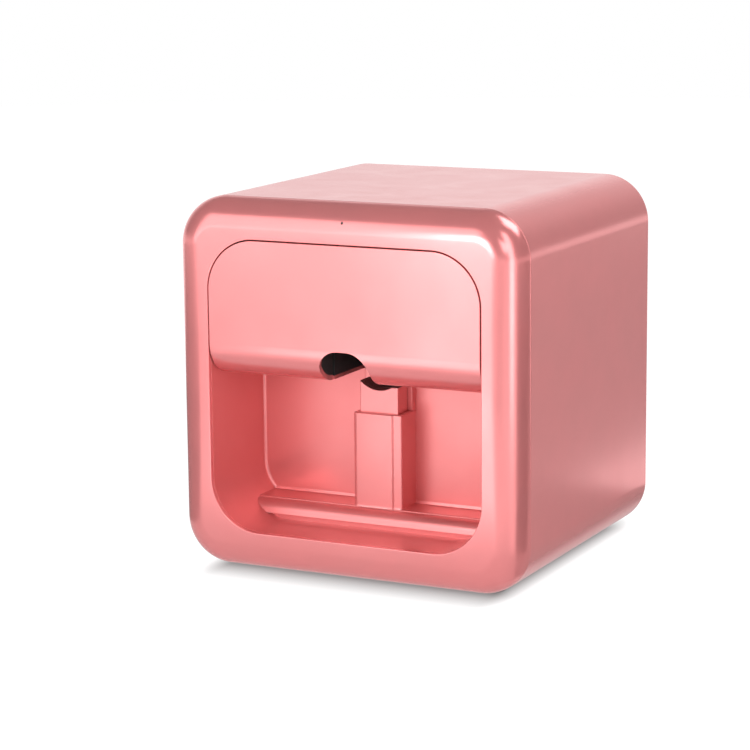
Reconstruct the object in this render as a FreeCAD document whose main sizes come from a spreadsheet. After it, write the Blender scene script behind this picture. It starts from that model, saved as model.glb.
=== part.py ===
import FreeCAD, Part
import math
import os

import Sketcher
from FreeCAD import Placement, Rotation, Vector

# Desktop nail art printer, millimetres. +X is the user's right, +Y runs away from the user, +Z is up.
# The origin is on the table, under the middle of the body.

doc = FreeCAD.newDocument("nail_art_printer")
sheet = doc.addObject("Spreadsheet::Sheet", "dims")


# ---------------------------------------------------------------------------------------------
# Sizes: every length is a cell of the sheet, and a formula of cells stays a formula
# ---------------------------------------------------------------------------------------------

class Size:
    """A length that knows its number and its formula in the sheet's cells."""

    def __init__(self, number, formula):
        self.number = number
        self.formula = formula

    def __add__(self, other):
        other = size(other)
        return Size(self.number + other.number, f"({self.formula} + {other.formula})")

    def __sub__(self, other):
        other = size(other)
        return Size(self.number - other.number, f"({self.formula} - {other.formula})")

    def __mul__(self, factor):
        factor = size(factor)
        return Size(self.number * factor.number, f"({self.formula} * {factor.formula})")

    def __truediv__(self, factor):
        factor = size(factor)
        return Size(self.number / factor.number, f"({self.formula} / {factor.formula})")

    def __neg__(self):
        return Size(-self.number, f"(0 - {self.formula})")

    def __radd__(self, other):
        return size(other) + self

    def __rsub__(self, other):
        return size(other) - self

    def __rmul__(self, other):
        return size(other) * self


def size(value):
    """A Size stays as it is, and a bare number becomes one."""
    return value if isinstance(value, Size) else Size(float(value), f"{float(value):.6g}")


def cell(name, value):
    """Put a driving dimension in the next row of the sheet, under its own name."""
    cell.row += 1
    sheet.set(f"A{cell.row}", name)
    sheet.set(f"B{cell.row}", f"{value:g}")
    sheet.setAlias(f"B{cell.row}", name)
    return Size(float(value), f"dims.{name}")


cell.row = 0

# casing
body_width = cell("body_width", 200)
body_depth = cell("body_depth", 183)
body_height = cell("body_height", 200)
foot_height = cell("foot_height", 2)
corner_radius = cell("corner_radius", 26)
front_round = cell("front_round", 15.6)
rear_round = cell("rear_round", 2)
wall = cell("wall", 2.5)
bezel_depth = cell("bezel_depth", 14.3)
seam_gap = cell("seam_gap", 0.3)
screw_inset = cell("screw_inset", 7.5)
rear_screw_low = cell("rear_screw_low", 36)
rear_screw_high = cell("rear_screw_high", 168)
base_screw_half = cell("base_screw_half", 60)
base_screw_front = cell("base_screw_front", -50)
base_screw_back = cell("base_screw_back", 60)
screw_seat = cell("screw_seat", 1.4)
foot_half = cell("foot_half", 72)
foot_front = cell("foot_front", -62)
foot_back = cell("foot_back", 68)
light_x = cell("light_x", 0.8)
light_z = cell("light_z", 192.3)
light_radius = cell("light_radius", 0.7)

# opening in the front, shared by the door above and the hand bay below
opening_half = cell("opening_half", 79)
opening_bottom = cell("opening_bottom", 23.6)
opening_top = cell("opening_top", 181.1)
opening_radius = cell("opening_radius", 28)
opening_edge_round = cell("opening_edge_round", 0.5)

# hand bay
bay_depth = cell("bay_depth", 59.1)
bay_corner_round = cell("bay_corner_round", 2)
liner_wall = cell("liner_wall", 2)
ledge_top = cell("ledge_top", 33.8)
ledge_depth = cell("ledge_depth", 18.6)
roll_radius = cell("roll_radius", 5.2)
roll_drop = cell("roll_drop", 0.5)
roll_height = cell("roll_height", 5.4)
undercut_depth = cell("undercut_depth", 1.4)
groove_width = cell("groove_width", 0.8)
groove_depth = cell("groove_depth", 1.9)
ceiling_height = cell("ceiling_height", 106.7)
finger_slot_half = cell("finger_slot_half", 14)
finger_window_bottom = cell("finger_window_bottom", 92)
peg_half = cell("peg_half", 85.5)
peg_low = cell("peg_low", 50)
peg_high = cell("peg_high", 95)
chamber_top = cell("chamber_top", 121)

# door
door_gap = cell("door_gap", 0.6)
door_thickness = cell("door_thickness", 2.5)
door_bottom_round = cell("door_bottom_round", 18.5)
door_edge_round = cell("door_edge_round", 1)
door_cheek_top = cell("door_cheek_top", 132)
notch_half = cell("notch_half", 14.5)
notch_top = cell("notch_top", 125.1)
notch_radius = cell("notch_radius", 12)
hinge_inset = cell("hinge_inset", 7)
hinge_height = cell("hinge_height", 191)
hinge_arm_place = cell("hinge_arm_place", 35)
hinge_arm_width = cell("hinge_arm_width", 6)
gooseneck_inner = cell("gooseneck_inner", 13.5)
gooseneck_outer = cell("gooseneck_outer", 17)
hinge_pin_radius = cell("hinge_pin_radius", 1.5)
arm_screw_low = cell("arm_screw_low", 153)
arm_screw_high = cell("arm_screw_high", 166)
magnet_half = cell("magnet_half", 70)
magnet_height = cell("magnet_height", 115)

# finger rest
post_half = cell("post_half", 14.25)
post_top = cell("post_top", 85.2)
post_round = cell("post_round", 1.6)
post_step_start = cell("post_step_start", 7.4)
post_step_end = cell("post_step_end", 9.8)
post_step_depth = cell("post_step_depth", 0.9)
post_left_round = cell("post_left_round", 2)
post_right_round = cell("post_right_round", 0.4)
rest_half = cell("rest_half", 11.45)
rest_front_inset = cell("rest_front_inset", 2.6)
rest_depth = cell("rest_depth", 11.5)
rest_bottom = cell("rest_bottom", 60)
rest_horn_top = cell("rest_horn_top", 102.6)
rest_shoulder_top = cell("rest_shoulder_top", 99.6)
rest_shoulder_place = cell("rest_shoulder_place", 7.5)
scoop_radius = cell("scoop_radius", 15.3)
scoop_bottom = cell("scoop_bottom", 97.6)
slide_gap = cell("slide_gap", 0.3)

# mechanism
rod_radius = cell("rod_radius", 4)
rod_spacing_half = cell("rod_spacing_half", 76)
rod_height = cell("rod_height", 134)
cross_rod_radius = cell("cross_rod_radius", 3)
cross_rod_low = cell("cross_rod_low", 142)
cross_rod_high = cell("cross_rod_high", 172)
cross_rod_depth = cell("cross_rod_depth", 22)
running_gap = cell("running_gap", 0.05)
screw_radius = cell("screw_radius", 3)
screw_height = cell("screw_height", 158)
pulley_radius = cell("pulley_radius", 6)
pulley_height = cell("pulley_height", 157)
pulley_place = cell("pulley_place", 57)
belt_thickness = cell("belt_thickness", 1.2)
belt_width = cell("belt_width", 5)
belt_front = cell("belt_front", 30)
carriage_place = cell("carriage_place", 46)
carriage_half = cell("carriage_half", 17)
sheet_metal = cell("sheet_metal", 1.5)
frame_window_radius = cell("frame_window_radius", 9)

# rear fittings and electronics
panel_recess = cell("panel_recess", 1.5)
panel_thickness = cell("panel_thickness", 2.5)
button_x = cell("button_x", 36)
button_z = cell("button_z", 150)
button_radius = cell("button_radius", 7)
inlet_x = cell("inlet_x", 60)
inlet_z = cell("inlet_z", 34)
port_x = cell("port_x", 32)
port_z = cell("port_z", 34)
fan_x = cell("fan_x", -50)
fan_z = cell("fan_z", 59)
board_top = cell("board_top", 17.6)

front = -body_depth / 2
rear = body_depth / 2
seam = front + bezel_depth
bottom = foot_height
top = foot_height + body_height
side = body_width / 2
bay_back = front + bay_depth
post_front = bay_back - ledge_depth
hinge_depth = front + hinge_inset
door_half = opening_half - door_gap
door_top = opening_top - door_gap
door_back = front + door_bottom_round
ceiling_top = ceiling_height + liner_wall
floor_inside = bottom + wall
rest_middle = post_front + rest_front_inset + rest_depth / 2
panel_outside = rear - panel_recess
panel_inside = panel_outside - panel_thickness


# ---------------------------------------------------------------------------------------------
# Building blocks
# ---------------------------------------------------------------------------------------------

nodes = {}
AXIS_TURN = {
    "X": Rotation(Vector(0, 1, 0), 90),
    "Y": Rotation(Vector(1, 0, 0), -90),
    "Z": Rotation(),
}

def bind(target, prop, value):
    target.setExpression(prop, size(value).formula)


def put(target, x, y, z, turn=None):
    """Place an object, with its position tied to the sheet."""
    target.Placement = Placement(Vector(), turn or Rotation())
    for letter, value in zip("xyz", (x, y, z)):
        bind(target, f".Placement.Base.{letter}", value)
    return target


def block(name, x, y, z):
    """A box from its two limits along each axis."""
    solid = doc.addObject("Part::Box", name)
    for prop, (low, high) in zip(("Length", "Width", "Height"), (x, y, z)):
        bind(solid, prop, size(high) - low)
    return put(solid, x[0], y[0], z[0])


def drum(name, axis, radius, centre, span):
    """A cylinder along an axis: centre in the other two axes' order, span along its own."""
    solid = doc.addObject("Part::Cylinder", name)
    bind(solid, "Radius", radius)
    bind(solid, "Height", size(span[1]) - span[0])
    first, second = centre
    corner = {
        "X": (span[0], first, second),
        "Y": (first, span[0], second),
        "Z": (first, second, span[0]),
    }[axis]
    return put(solid, *corner, turn=AXIS_TURN[axis])


def join(name, *solids):
    fused = doc.addObject("Part::MultiFuse", name)
    fused.Shapes = list(solids)
    fused.Refine = True
    return fused


def trim(name, base, *tools):
    """Cut one or more tools from a solid."""
    result = doc.addObject("Part::Cut", name)
    result.Base = base
    result.Tool = tools[0] if len(tools) == 1 else join(name + "_tools", *tools)
    result.Refine = True
    return result


def shared(name, first, second):
    """What two solids have in common."""
    result = doc.addObject("Part::Common", name)
    result.Base = first
    result.Tool = second
    result.Refine = True
    return result


def group(name, *solids):
    """Separate solids that belong to one node, such as a set of equal screws."""
    result = doc.addObject("Part::Compound", name)
    result.Links = list(solids)
    return result


def span_between(first, second):
    """Two limits in rising order, for pieces mirrored left and right."""
    return sorted((size(first), size(second)), key=lambda limit: limit.number)


def near(first, second):
    return abs(first - size(second).number) < 0.02


def rounded(name, base, radius, pick):
    """Round the edges whose bounding box the pick function accepts."""
    doc.recompute()
    chosen = [i + 1 for i, edge in enumerate(base.Shape.Edges) if pick(edge.BoundBox)]
    if not chosen:
        raise RuntimeError(f"{name}: no edge to round")
    result = doc.addObject("Part::Fillet", name)
    result.Base = base
    result.Edges = [(i, size(radius).number, size(radius).number) for i in chosen]
    return result


def bevelled(name, base, first, second, pick):
    """Chamfer the edges whose bounding box the pick function accepts."""
    doc.recompute()
    chosen = [i + 1 for i, edge in enumerate(base.Shape.Edges) if pick(edge.BoundBox)]
    if not chosen:
        raise RuntimeError(f"{name}: no edge to bevel")
    result = doc.addObject("Part::Chamfer", name)
    result.Base = base
    result.Edges = [(i, size(first).number, size(second).number) for i in chosen]
    return result


def tie(sketch, kind, line, value):
    """Hold a line's start point at a distance from the origin, by the sheet."""
    value = size(value)
    if value.formula == "0":
        axis = -2 if kind == "DistanceX" else -1
        sketch.addConstraint(Sketcher.Constraint("PointOnObject", line, 1, axis))
        return
    index = sketch.addConstraint(Sketcher.Constraint(kind, -1, 1, line, 1, value.number))
    sketch.setExpression(f"Constraints[{index}]", value.formula)


def draw_polygon(sketch, points):
    """Draw a closed polygon with every corner tied to the sheet."""
    corners = [(size(a), size(b)) for a, b in points]
    first = sketch.GeometryCount
    count = len(corners)
    for i, (a, b) in enumerate(corners):
        c, d = corners[(i + 1) % count]
        line = Part.LineSegment(Vector(a.number, b.number, 0), Vector(c.number, d.number, 0))
        sketch.addGeometry(line)
    for i in range(count):
        follower = first + (i + 1) % count
        sketch.addConstraint(Sketcher.Constraint("Coincident", first + i, 2, follower, 1))
    for i, (a, b) in enumerate(corners):
        tie(sketch, "DistanceX", first + i, a)
        tie(sketch, "DistanceY", first + i, b)


def rectangle(sketch, x0, y0, x1, y1):
    draw_polygon(sketch, [(x0, y0), (x1, y0), (x1, y1), (x0, y1)])


def draw_circle(sketch, radius, a, b):
    """Draw a circle with its radius and centre tied to the sheet."""
    radius, a, b = size(radius), size(a), size(b)
    circle = Part.Circle(Vector(a.number, b.number, 0), Vector(0, 0, 1), radius.number)
    index = sketch.addGeometry(circle)
    held = sketch.addConstraint(Sketcher.Constraint("Radius", index, radius.number))
    sketch.setExpression(f"Constraints[{held}]", radius.formula)
    for kind, axis, value in (("DistanceX", -2, a), ("DistanceY", -1, b)):
        if value.formula == "0":
            sketch.addConstraint(Sketcher.Constraint("PointOnObject", index, 3, axis))
        else:
            held = sketch.addConstraint(Sketcher.Constraint(kind, -1, 1, index, 3, value.number))
            sketch.setExpression(f"Constraints[{held}]", value.formula)


def body_sketch(body, role, name, offset=0):
    """A sketch on one of the body's own origin planes, moved along the plane's normal."""
    plane = next(f for f in body.Origin.OriginFeatures if f.Role == role)
    sketch = body.newObject("Sketcher::SketchObject", name)
    sketch.AttachmentSupport = (plane, [""])
    sketch.MapMode = "FlatFace"
    if size(offset).formula != "0":
        bind(sketch, ".AttachmentOffset.Base.z", offset)
    return sketch


def turned(name, outline, place=(0, 0, 0), turn=None):
    """A turned piece: a half section (radius, height) spun round its own axis."""
    body = doc.addObject("PartDesign::Body", name)
    sketch = body_sketch(body, "XZ_Plane", name + "_section")
    draw_polygon(sketch, outline)
    spin = body.newObject("PartDesign::Revolution", name + "_spin")
    spin.Profile = sketch
    spin.ReferenceAxis = (sketch, ["V_Axis"])
    spin.Angle = 360
    put(body, *place, turn=turn)
    return body


def pad(body, name, role, length, draw, offset=0, flipped=False):
    """Add material to a body from a sketch drawn by the draw function."""
    sketch = body_sketch(body, role, name + "_sketch", offset)
    draw(sketch)
    feature = body.newObject("PartDesign::Pad", name)
    feature.Profile = sketch
    bind(feature, "Length", length)
    feature.Reversed = flipped
    return feature


def pocket(body, name, role, length, draw, offset=0, flipped=False):
    """Take material from a body, and check that something was really cut."""
    doc.recompute()
    before = body.Shape.Volume
    sketch = body_sketch(body, role, name + "_sketch", offset)
    draw(sketch)
    feature = body.newObject("PartDesign::Pocket", name)
    feature.Profile = sketch
    bind(feature, "Length", length)
    feature.Reversed = flipped
    doc.recompute()
    if body.Shape.Volume > before - 0.01:
        raise RuntimeError(f"{name} cuts nothing")
    return feature


def dress(body, name, kind, value, pick):
    """Fillet or chamfer a body's own edges."""
    doc.recompute()
    tip = body.Tip
    chosen = [f"Edge{i + 1}" for i, e in enumerate(tip.Shape.Edges) if pick(e.BoundBox)]
    if not chosen:
        raise RuntimeError(f"{name}: no edge to dress")
    feature = body.newObject(kind, name)
    feature.Base = (tip, chosen)
    bind(feature, "Radius" if kind.endswith("Fillet") else "Size", value)
    return feature


def sub_part(name, solid):
    """Give a finished piece its label, which names its file."""
    solid.Label = name
    nodes[name] = solid
    return solid


def pan_head_screw(name, x, y, z, turn, shank_radius, length, head_radius, head):
    """A screw whose head stands on its place and whose shank points the other way."""
    drive = 0.8
    return turned(name, [
        (0, -length), (shank_radius - 0.5, -length), (shank_radius, 0.8 - length), (shank_radius, 0),
        (head_radius, 0), (head_radius, head * 0.55), (head_radius - 0.7, head),
        (drive, head), (drive * 0.8, head * 0.45), (0, head * 0.35)], (x, y, z), turn)


DOWN = Rotation(Vector(1, 0, 0), 180)
BACK = Rotation(Vector(1, 0, 0), -90)
FORWARD = Rotation(Vector(1, 0, 0), 90)


# ---------------------------------------------------------------------------------------------
# Casing: one rounded cube, parted by a seam into front bezel and outer sleeve
# ---------------------------------------------------------------------------------------------

def cube_form(name, inset, back):
    """The cube's form, rounded along its depth and round its front, at an inset."""
    raw = block(name + "_raw", (-side + inset, side - inset), (front + inset, back),
                (bottom + inset, top - inset))
    shaft = rounded(name + "_shaft", raw, corner_radius - inset, lambda b: b.YLength > 100)
    return rounded(name, shaft, front_round - inset,
                   lambda b: near(b.YMin, front + inset) and near(b.YMax, front + inset))


def opening_prism(name, grow, y, bottom_only=False):
    """The rounded outline of the front opening, grown all round, between two depths."""
    raw = block(name + "_raw", (-opening_half - grow, opening_half + grow), y,
                (opening_bottom - grow, opening_top + grow))
    return rounded(name, raw, opening_radius + grow, lambda b: b.XLength < 0.1 and b.ZLength < 0.1)


outer_form = cube_form("outer_form", size(0), rear)
inner_form = cube_form("inner_form", wall, rear + 5)
rear_edge = rounded("outer_form_rear", outer_form, rear_round,
                    lambda b: near(b.YMin, rear) and near(b.YMax, rear))
skin = trim("casing_skin", rear_edge, inner_form)


rear_screw_places = [
    ("left_low", screw_inset - side, rear_screw_low), ("left_high", screw_inset - side, rear_screw_high),
    ("right_low", side - screw_inset, rear_screw_low), ("right_high", side - screw_inset, rear_screw_high)]
base_screw_places = [
    ("left_front", -base_screw_half, base_screw_front), ("left_back", -base_screw_half, base_screw_back),
    ("right_front", base_screw_half, base_screw_front), ("right_back", base_screw_half, base_screw_back)]


def outer_sleeve():
    """The tube round the sides, with posts for the rear panel and holes for the base screws."""
    keep = block("sleeve_zone", (-side - 5, side + 5), (seam + seam_gap, rear + 5), (0, top + 5))
    tube = shared("sleeve_tube", skin, keep)
    posts = []
    holes = []
    for column, x_sign in (("left", -1), ("right", 1)):
        for row, z in (("low", rear_screw_low), ("high", rear_screw_high)):
            reach = span_between((side - 12) * x_sign, (side - wall + 0.2) * x_sign)
            posts.append(block(f"sleeve_post_{column}_{row}", reach, (rear - 18, panel_inside),
                               (z - 5, z + 5)))
            holes.append(drum(f"sleeve_post_hole_{column}_{row}", "Y", 1.5,
                              ((side - screw_inset) * x_sign, z), (rear - 15, rear - 3)))
    for tag, x, y in base_screw_places:
        holes.append(drum(f"base_hole_{tag}", "Z", 1.5, (x, y), (0, 10)))
        holes.append(drum(f"base_counterbore_{tag}", "Z", 3.4, (x, y), (0, bottom + screw_seat)))
    return trim("sleeve_drilled", join("sleeve_with_posts", tube, *posts), *holes)


def front_bezel():
    """The softly rounded front frame, with snap tabs that reach inside the sleeve."""
    keep = block("bezel_zone", (-side - 5, side + 5), (front - 5, seam), (0, top + 5))
    shell = shared("bezel_shell", skin, keep)
    mouth = opening_prism("bezel_mouth", size(0), (front - 5, seam + 5))
    light_hole = drum("bezel_light_hole", "Y", light_radius, (light_x, light_z), (front - 5, front + 5))
    framed = trim("bezel_framed", shell, mouth, light_hole)
    softened = rounded("bezel_softened", framed, opening_edge_round,
                       lambda b: near(b.YMin, front) and near(b.YMax, front)
                       and abs(b.XMin) < opening_half.number + 0.5 and abs(b.XMax) < opening_half.number + 0.5
                       and (b.XLength > 5 or b.ZLength > 5))
    tabs = []
    tab_inner = wall + 0.2
    tab_outer = tab_inner + 2.1
    tab_depth = (front + 6.5, seam + 10)
    for z in (60, 140):
        for x_sign in (-1, 1):
            reach = span_between((side - tab_outer) * x_sign, (side - tab_inner) * x_sign)
            tabs.append(block(f"bezel_tab_side_{x_sign + 1}_{z}", reach, tab_depth, (z - 8, z + 8)))
    for x in (-55, 55):
        tabs.append(block(f"bezel_tab_top_{x + 60}", (x - 8, x + 8), tab_depth,
                          (top - tab_outer, top - tab_inner)))
        tabs.append(block(f"bezel_tab_low_{x + 60}", (x - 8, x + 8), tab_depth,
                          (bottom + tab_inner, bottom + tab_outer)))
    for x_sign in (-1, 1):
        for row, z in (("low", peg_low), ("high", peg_high)):
            tabs.append(drum(f"bezel_peg_{x_sign + 1}_{row}", "Y", 2, (peg_half * x_sign, z),
                             (front + 2, front + 11)))
    return join("bezel_with_tabs", softened, *tabs)


def rear_panel():
    """The recessed rear panel, with its fan grille, air slots and connector holes."""
    body = doc.addObject("PartDesign::Body", "rear_panel_body")
    edge = wall + 0.3
    low, high = bottom + edge, top - edge
    half = side - edge

    def plate(sketch):
        draw_polygon(sketch, [(-half, low), (half, low), (half, high), (-half, high)])
    pad(body, "rear_panel_plate", "XZ_Plane", panel_thickness, plate, -panel_outside)
    dress(body, "rear_panel_corners", "PartDesign::Fillet", corner_radius - edge,
          lambda b: b.XLength < 0.1 and b.ZLength < 0.1)

    def cut(name, draw):
        return pocket(body, name, "XZ_Plane", 10, draw, -panel_outside - 1, True)

    def slot(sketch):
        rectangle(sketch, fan_x - 20, fan_z - 15, fan_x + 20, fan_z - 12.6)
    first = cut("rear_fan_slot", slot)
    pattern(body, first, "rear_fan_slots", "V_Axis", 32, 8)

    def air_slot(sketch):
        rectangle(sketch, -16, 176, -13.6, 184)
    first = cut("rear_air_slot", air_slot)
    pattern(body, first, "rear_air_slots", "H_Axis", 32, 8)

    cut("rear_button_hole", lambda sketch: draw_circle(sketch, button_radius + 0.3, button_x, button_z))
    cut("rear_inlet_hole", lambda sketch: draw_circle(sketch, 4.3, inlet_x, inlet_z))

    def port(sketch):
        rectangle(sketch, port_x - 7.2, port_z - 3.2, port_x + 7.2, port_z + 3.2)
    cut("rear_port_hole", port)
    for tag, x, z in rear_screw_places:
        cut(f"rear_screw_hole_{tag}", lambda sketch, x=x, z=z: draw_circle(sketch, 1.7, x, z))
    return body


def pattern(body, feature, name, axis, length, count):
    """Repeat a pocket along one of its own sketch's axes."""
    row = body.newObject("PartDesign::LinearPattern", name)
    row.Originals = [feature]
    row.Direction = (feature.Profile[0], [axis])
    row.Length = length
    row.Occurrences = count
    body.Tip = row
    doc.recompute()
    return row


sub_part("outer_sleeve", outer_sleeve())
sub_part("front_bezel", front_bezel())
sub_part("rear_panel", rear_panel())

rear_screws = [pan_head_screw(f"rear_screw_{tag}", x, panel_outside, z, BACK, 1.45, 9, 3, 1.3)
               for tag, x, z in rear_screw_places]
base_screws = [pan_head_screw(f"base_screw_{tag}", x, y, bottom + screw_seat, DOWN, 1.45, 8, 3, 1.3)
               for tag, x, y in base_screw_places]
sub_part("case_screws", group("case_screw_set", *rear_screws, *base_screws))

sub_part("status_light", turned("status_light_lens", [
    (0, 0), (2, 0), (2, 1), (light_radius, 1), (light_radius, 5), (0.4, 5.1), (0, 5.1)],
    (light_x, front + 6.3, light_z), FORWARD))

foot_outline = [(0, 0), (7.2, 0), (8, 0.6), (8, foot_height), (0, foot_height)]
sub_part("rubber_feet", group("rubber_foot_set", *[
    turned(f"rubber_foot_{tag}", foot_outline, (x, y, 0)) for tag, x, y in (
        ("left_front", -foot_half, foot_front), ("left_back", -foot_half, foot_back),
        ("right_front", foot_half, foot_front), ("right_back", foot_half, foot_back))]))


# ---------------------------------------------------------------------------------------------
# Hand bay: a moulded liner with ledge, roll and ceiling, and the dark print chamber above it
# ---------------------------------------------------------------------------------------------

def hand_bay_liner():
    """Walls behind the opening and the cover's cheeks, a ledge with a rolled edge, a slotted ceiling."""
    roll_front = post_front - groove_width - roll_radius
    roll_top = ledge_top - roll_drop
    outside = opening_prism("liner_outside", liner_wall, (front + wall + 0.1, bay_back + liner_wall))
    low_zone = block("liner_low_zone", (-side, side), (front, bay_back + 10), (0, ceiling_top))
    cheek_zone = block("liner_cheek_zone", (-side, side), (front, door_back + door_gap),
                       (ceiling_top - 1, door_cheek_top))
    outside = shared("liner_outside_low", outside, join("liner_zones", low_zone, cheek_zone))
    hollow = opening_prism("liner_hollow", size(0), (front, bay_back))
    hollow = rounded("liner_hollow_soft", hollow, bay_corner_round,
                     lambda b: near(b.YMin, bay_back) and near(b.YMax, bay_back))
    below_ceiling = block("liner_hollow_zone", (-side, side), (front, bay_back + 5), (0, ceiling_height))
    front_part = block("liner_front_zone", (-side, side), (front, door_back + door_gap),
                       (0, door_cheek_top + 5))
    hollow = shared("liner_hollow_low", hollow, join("liner_hollow_zones", below_ceiling, front_part))
    tub = trim("liner_tub", outside, hollow)

    step = block("liner_ledge", (-opening_half - 1, opening_half + 1),
                 (post_front, bay_back + liner_wall), (opening_bottom - 1, ledge_top))
    step = rounded("liner_ledge_soft", step, 0.4,
                   lambda b: near(b.YMin, post_front) and near(b.ZMin, ledge_top) and b.XLength > 50)
    roll_block = block("liner_roll_block", (-opening_half - 1, opening_half + 1),
                       (roll_front, post_front + 1), (opening_bottom - 1, roll_top))
    roll = rounded("liner_roll", roll_block, roll_radius,
                   lambda b: near(b.YMin, roll_front) and near(b.ZMin, roll_top) and b.XLength > 50)
    groove = block("liner_groove", (-side, side), (post_front - groove_width, post_front),
                   (ledge_top - groove_depth, ledge_top + 5))
    undercut = block("liner_undercut", (-side, side), (roll_front - 1, roll_front + undercut_depth),
                     (opening_bottom - 5, roll_top - roll_height))
    shelf = trim("liner_shelf", join("liner_shelf_solid", step, roll), groove, undercut)
    bounds = opening_prism("liner_shelf_bounds", liner_wall / 2, (front, bay_back + liner_wall))
    shelf = shared("liner_shelf_fitted", shelf, bounds)
    under = block("liner_shelf_hollow", (-64, 64), (roll_front + 2.5, bay_back - 1), (0, ledge_top - 3.5))

    flanges = []
    peg_holes = []
    for x_sign in (-1, 1):
        reach = span_between((opening_half + 1) * x_sign, (peg_half + 5.5) * x_sign)
        flanges.append(block(f"liner_flange_{x_sign + 1}", reach, (front + 7.5, front + 9.5), (42, 103)))
        for row, z in (("low", peg_low), ("high", peg_high)):
            peg_holes.append(drum(f"liner_peg_hole_{x_sign + 1}_{row}", "Y", 2, (peg_half * x_sign, z),
                                  (front + 7, front + 12)))
        boss_x = magnet_half * x_sign
        flanges.append(block(f"liner_strike_boss_{x_sign + 1}", (boss_x - 6, boss_x + 6),
                             (door_back + door_gap + 1, door_back + 8), (ceiling_height, chamber_top)))
    slot = block("liner_slot", (-finger_slot_half, finger_slot_half), (front, bay_back + 5),
                 (ceiling_height - 1, ceiling_top + 1))
    window = block("liner_window", (-finger_slot_half + 1, finger_slot_half - 1),
                   (bay_back - 1, bay_back + 5), (finger_window_bottom, ceiling_top + 1))
    pin_hole = drum("liner_pin_hole", "Z", 2.6, (0, rest_middle), (0, ledge_top + 1))
    solid = join("liner_joined", tub, shelf, *flanges)
    return trim("liner_cut", solid, under, slot, window, pin_hole, *peg_holes)


flange_thickness = 1.6
light_board_bottom = ceiling_top + flange_thickness
light_board_top = light_board_bottom + 1.6


def print_chamber():
    """The dark hood round the fingertip, open below, in front and above."""
    half = finger_slot_half + 2
    back_edge = bay_back + 11
    hood = block("chamber_block", (-half, half), (door_back + door_gap + 0.4, back_edge),
                 (finger_window_bottom - 2, chamber_top))
    inside = block("chamber_inside", (-finger_slot_half, finger_slot_half), (front, back_edge - 2),
                   (finger_window_bottom, chamber_top + 4))
    bay_room = block("chamber_bay_room", (-side, side), (front, bay_back + liner_wall),
                     (0, ceiling_top))
    flange = block("chamber_flange", (-half - 6, half + 6), (-66, -36),
                   (ceiling_top, ceiling_top + flange_thickness))
    flange_room = block("chamber_flange_room", (-half + 1, half - 1), (-70, -30),
                        (ceiling_top - 1, ceiling_top + 5))
    hood = trim("chamber_hood", hood, inside, bay_room)
    return join("chamber_joined", hood, trim("chamber_flange_ring", flange, flange_room))


magnet_places = [("left", -magnet_half), ("right", magnet_half)]


def door_strikes():
    """Two steel plates that the door's magnets meet."""
    return group("door_strike_set", *[
        block(f"door_strike_{side_name}", (x - 4.5, x + 4.5),
              (door_back + door_gap, door_back + door_gap + 1),
              (magnet_height - 4.5, magnet_height + 4.5)) for side_name, x in magnet_places])


sub_part("hand_bay_liner", hand_bay_liner())
sub_part("print_chamber", print_chamber())
sub_part("door_strikes", door_strikes())
sub_part("light_board", trim(
    "light_board_cut",
    block("light_board_plate", (-30, 30), (-64, -38), (light_board_bottom, light_board_top)),
    block("light_board_opening", (-16.2, 16.2), (-70, -30), (light_board_bottom - 1, light_board_top + 1))))
sub_part("light_emitters", group("light_emitter_set", *[
    block(f"emitter_{x + 30}_{-y}", (x - 1.5, x + 1.5), (y - 1.5, y + 1.5),
          (light_board_top, light_board_top + 1.2))
    for x in (-21, 21) for y in (-58, -51, -44)]))


# ---------------------------------------------------------------------------------------------
# Finger rest: a sprung slide in its post
# ---------------------------------------------------------------------------------------------

def finger_post():
    """The square post on the ledge, open at its top for the slide, with a step down its front."""
    body = doc.addObject("PartDesign::Body", "finger_post_body")
    pad(body, "post_pad", "XY_Plane", post_top - ledge_top,
        lambda s: rectangle(s, -post_half, post_front, post_half, bay_back), ledge_top)
    dress(body, "post_left_round", "PartDesign::Fillet", post_left_round,
          lambda b: near(b.YMax, post_front) and b.ZLength > 20 and b.XMax < 0)
    pocket(body, "post_step", "XY_Plane", post_top - ledge_top,
           lambda s: draw_polygon(s, [
               (post_step_start, post_front), (post_step_end, post_front + post_step_depth),
               (post_half + 1, post_front + post_step_depth), (post_half + 1, post_front - 1),
               (post_step_start, post_front - 1)]), post_top)
    dress(body, "post_right_round", "PartDesign::Fillet", post_right_round,
          lambda b: near(b.YMax, post_front + post_step_depth) and near(b.XMin, post_half) and b.ZLength > 20)
    dress(body, "post_top_round", "PartDesign::Fillet", post_round,
          lambda b: near(b.ZMin, post_top) and b.YMin < bay_back.number - 1)
    cavity_back = post_front + rest_front_inset + rest_depth + slide_gap
    pocket(body, "post_cavity", "XY_Plane", post_top - ledge_top - 2,
           lambda s: rectangle(s, -rest_half - slide_gap, post_front + rest_front_inset - slide_gap,
                               rest_half + slide_gap, cavity_back), post_top)
    pocket(body, "post_pin_hole", "XY_Plane", 10,
           lambda s: draw_circle(s, 2, 0, rest_middle), ledge_top + 5)
    return body


def guide_rail():
    """The plate behind the slide, from the post up to the ceiling, round the finger window."""
    rail_front = bay_back - 4.2
    plate = block("rail_plate", (-post_half, post_half), (rail_front, bay_back), (post_top, ceiling_height))
    plate = rounded("rail_soft", plate, 0.6, lambda b: near(b.YMax, rail_front) and b.ZLength > 10)
    window = block("rail_window", (-10.5, 10.5), (bay_back - 6, bay_back + 1), (94, ceiling_height + 1))
    return trim("rail_cut", plate, window)


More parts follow.
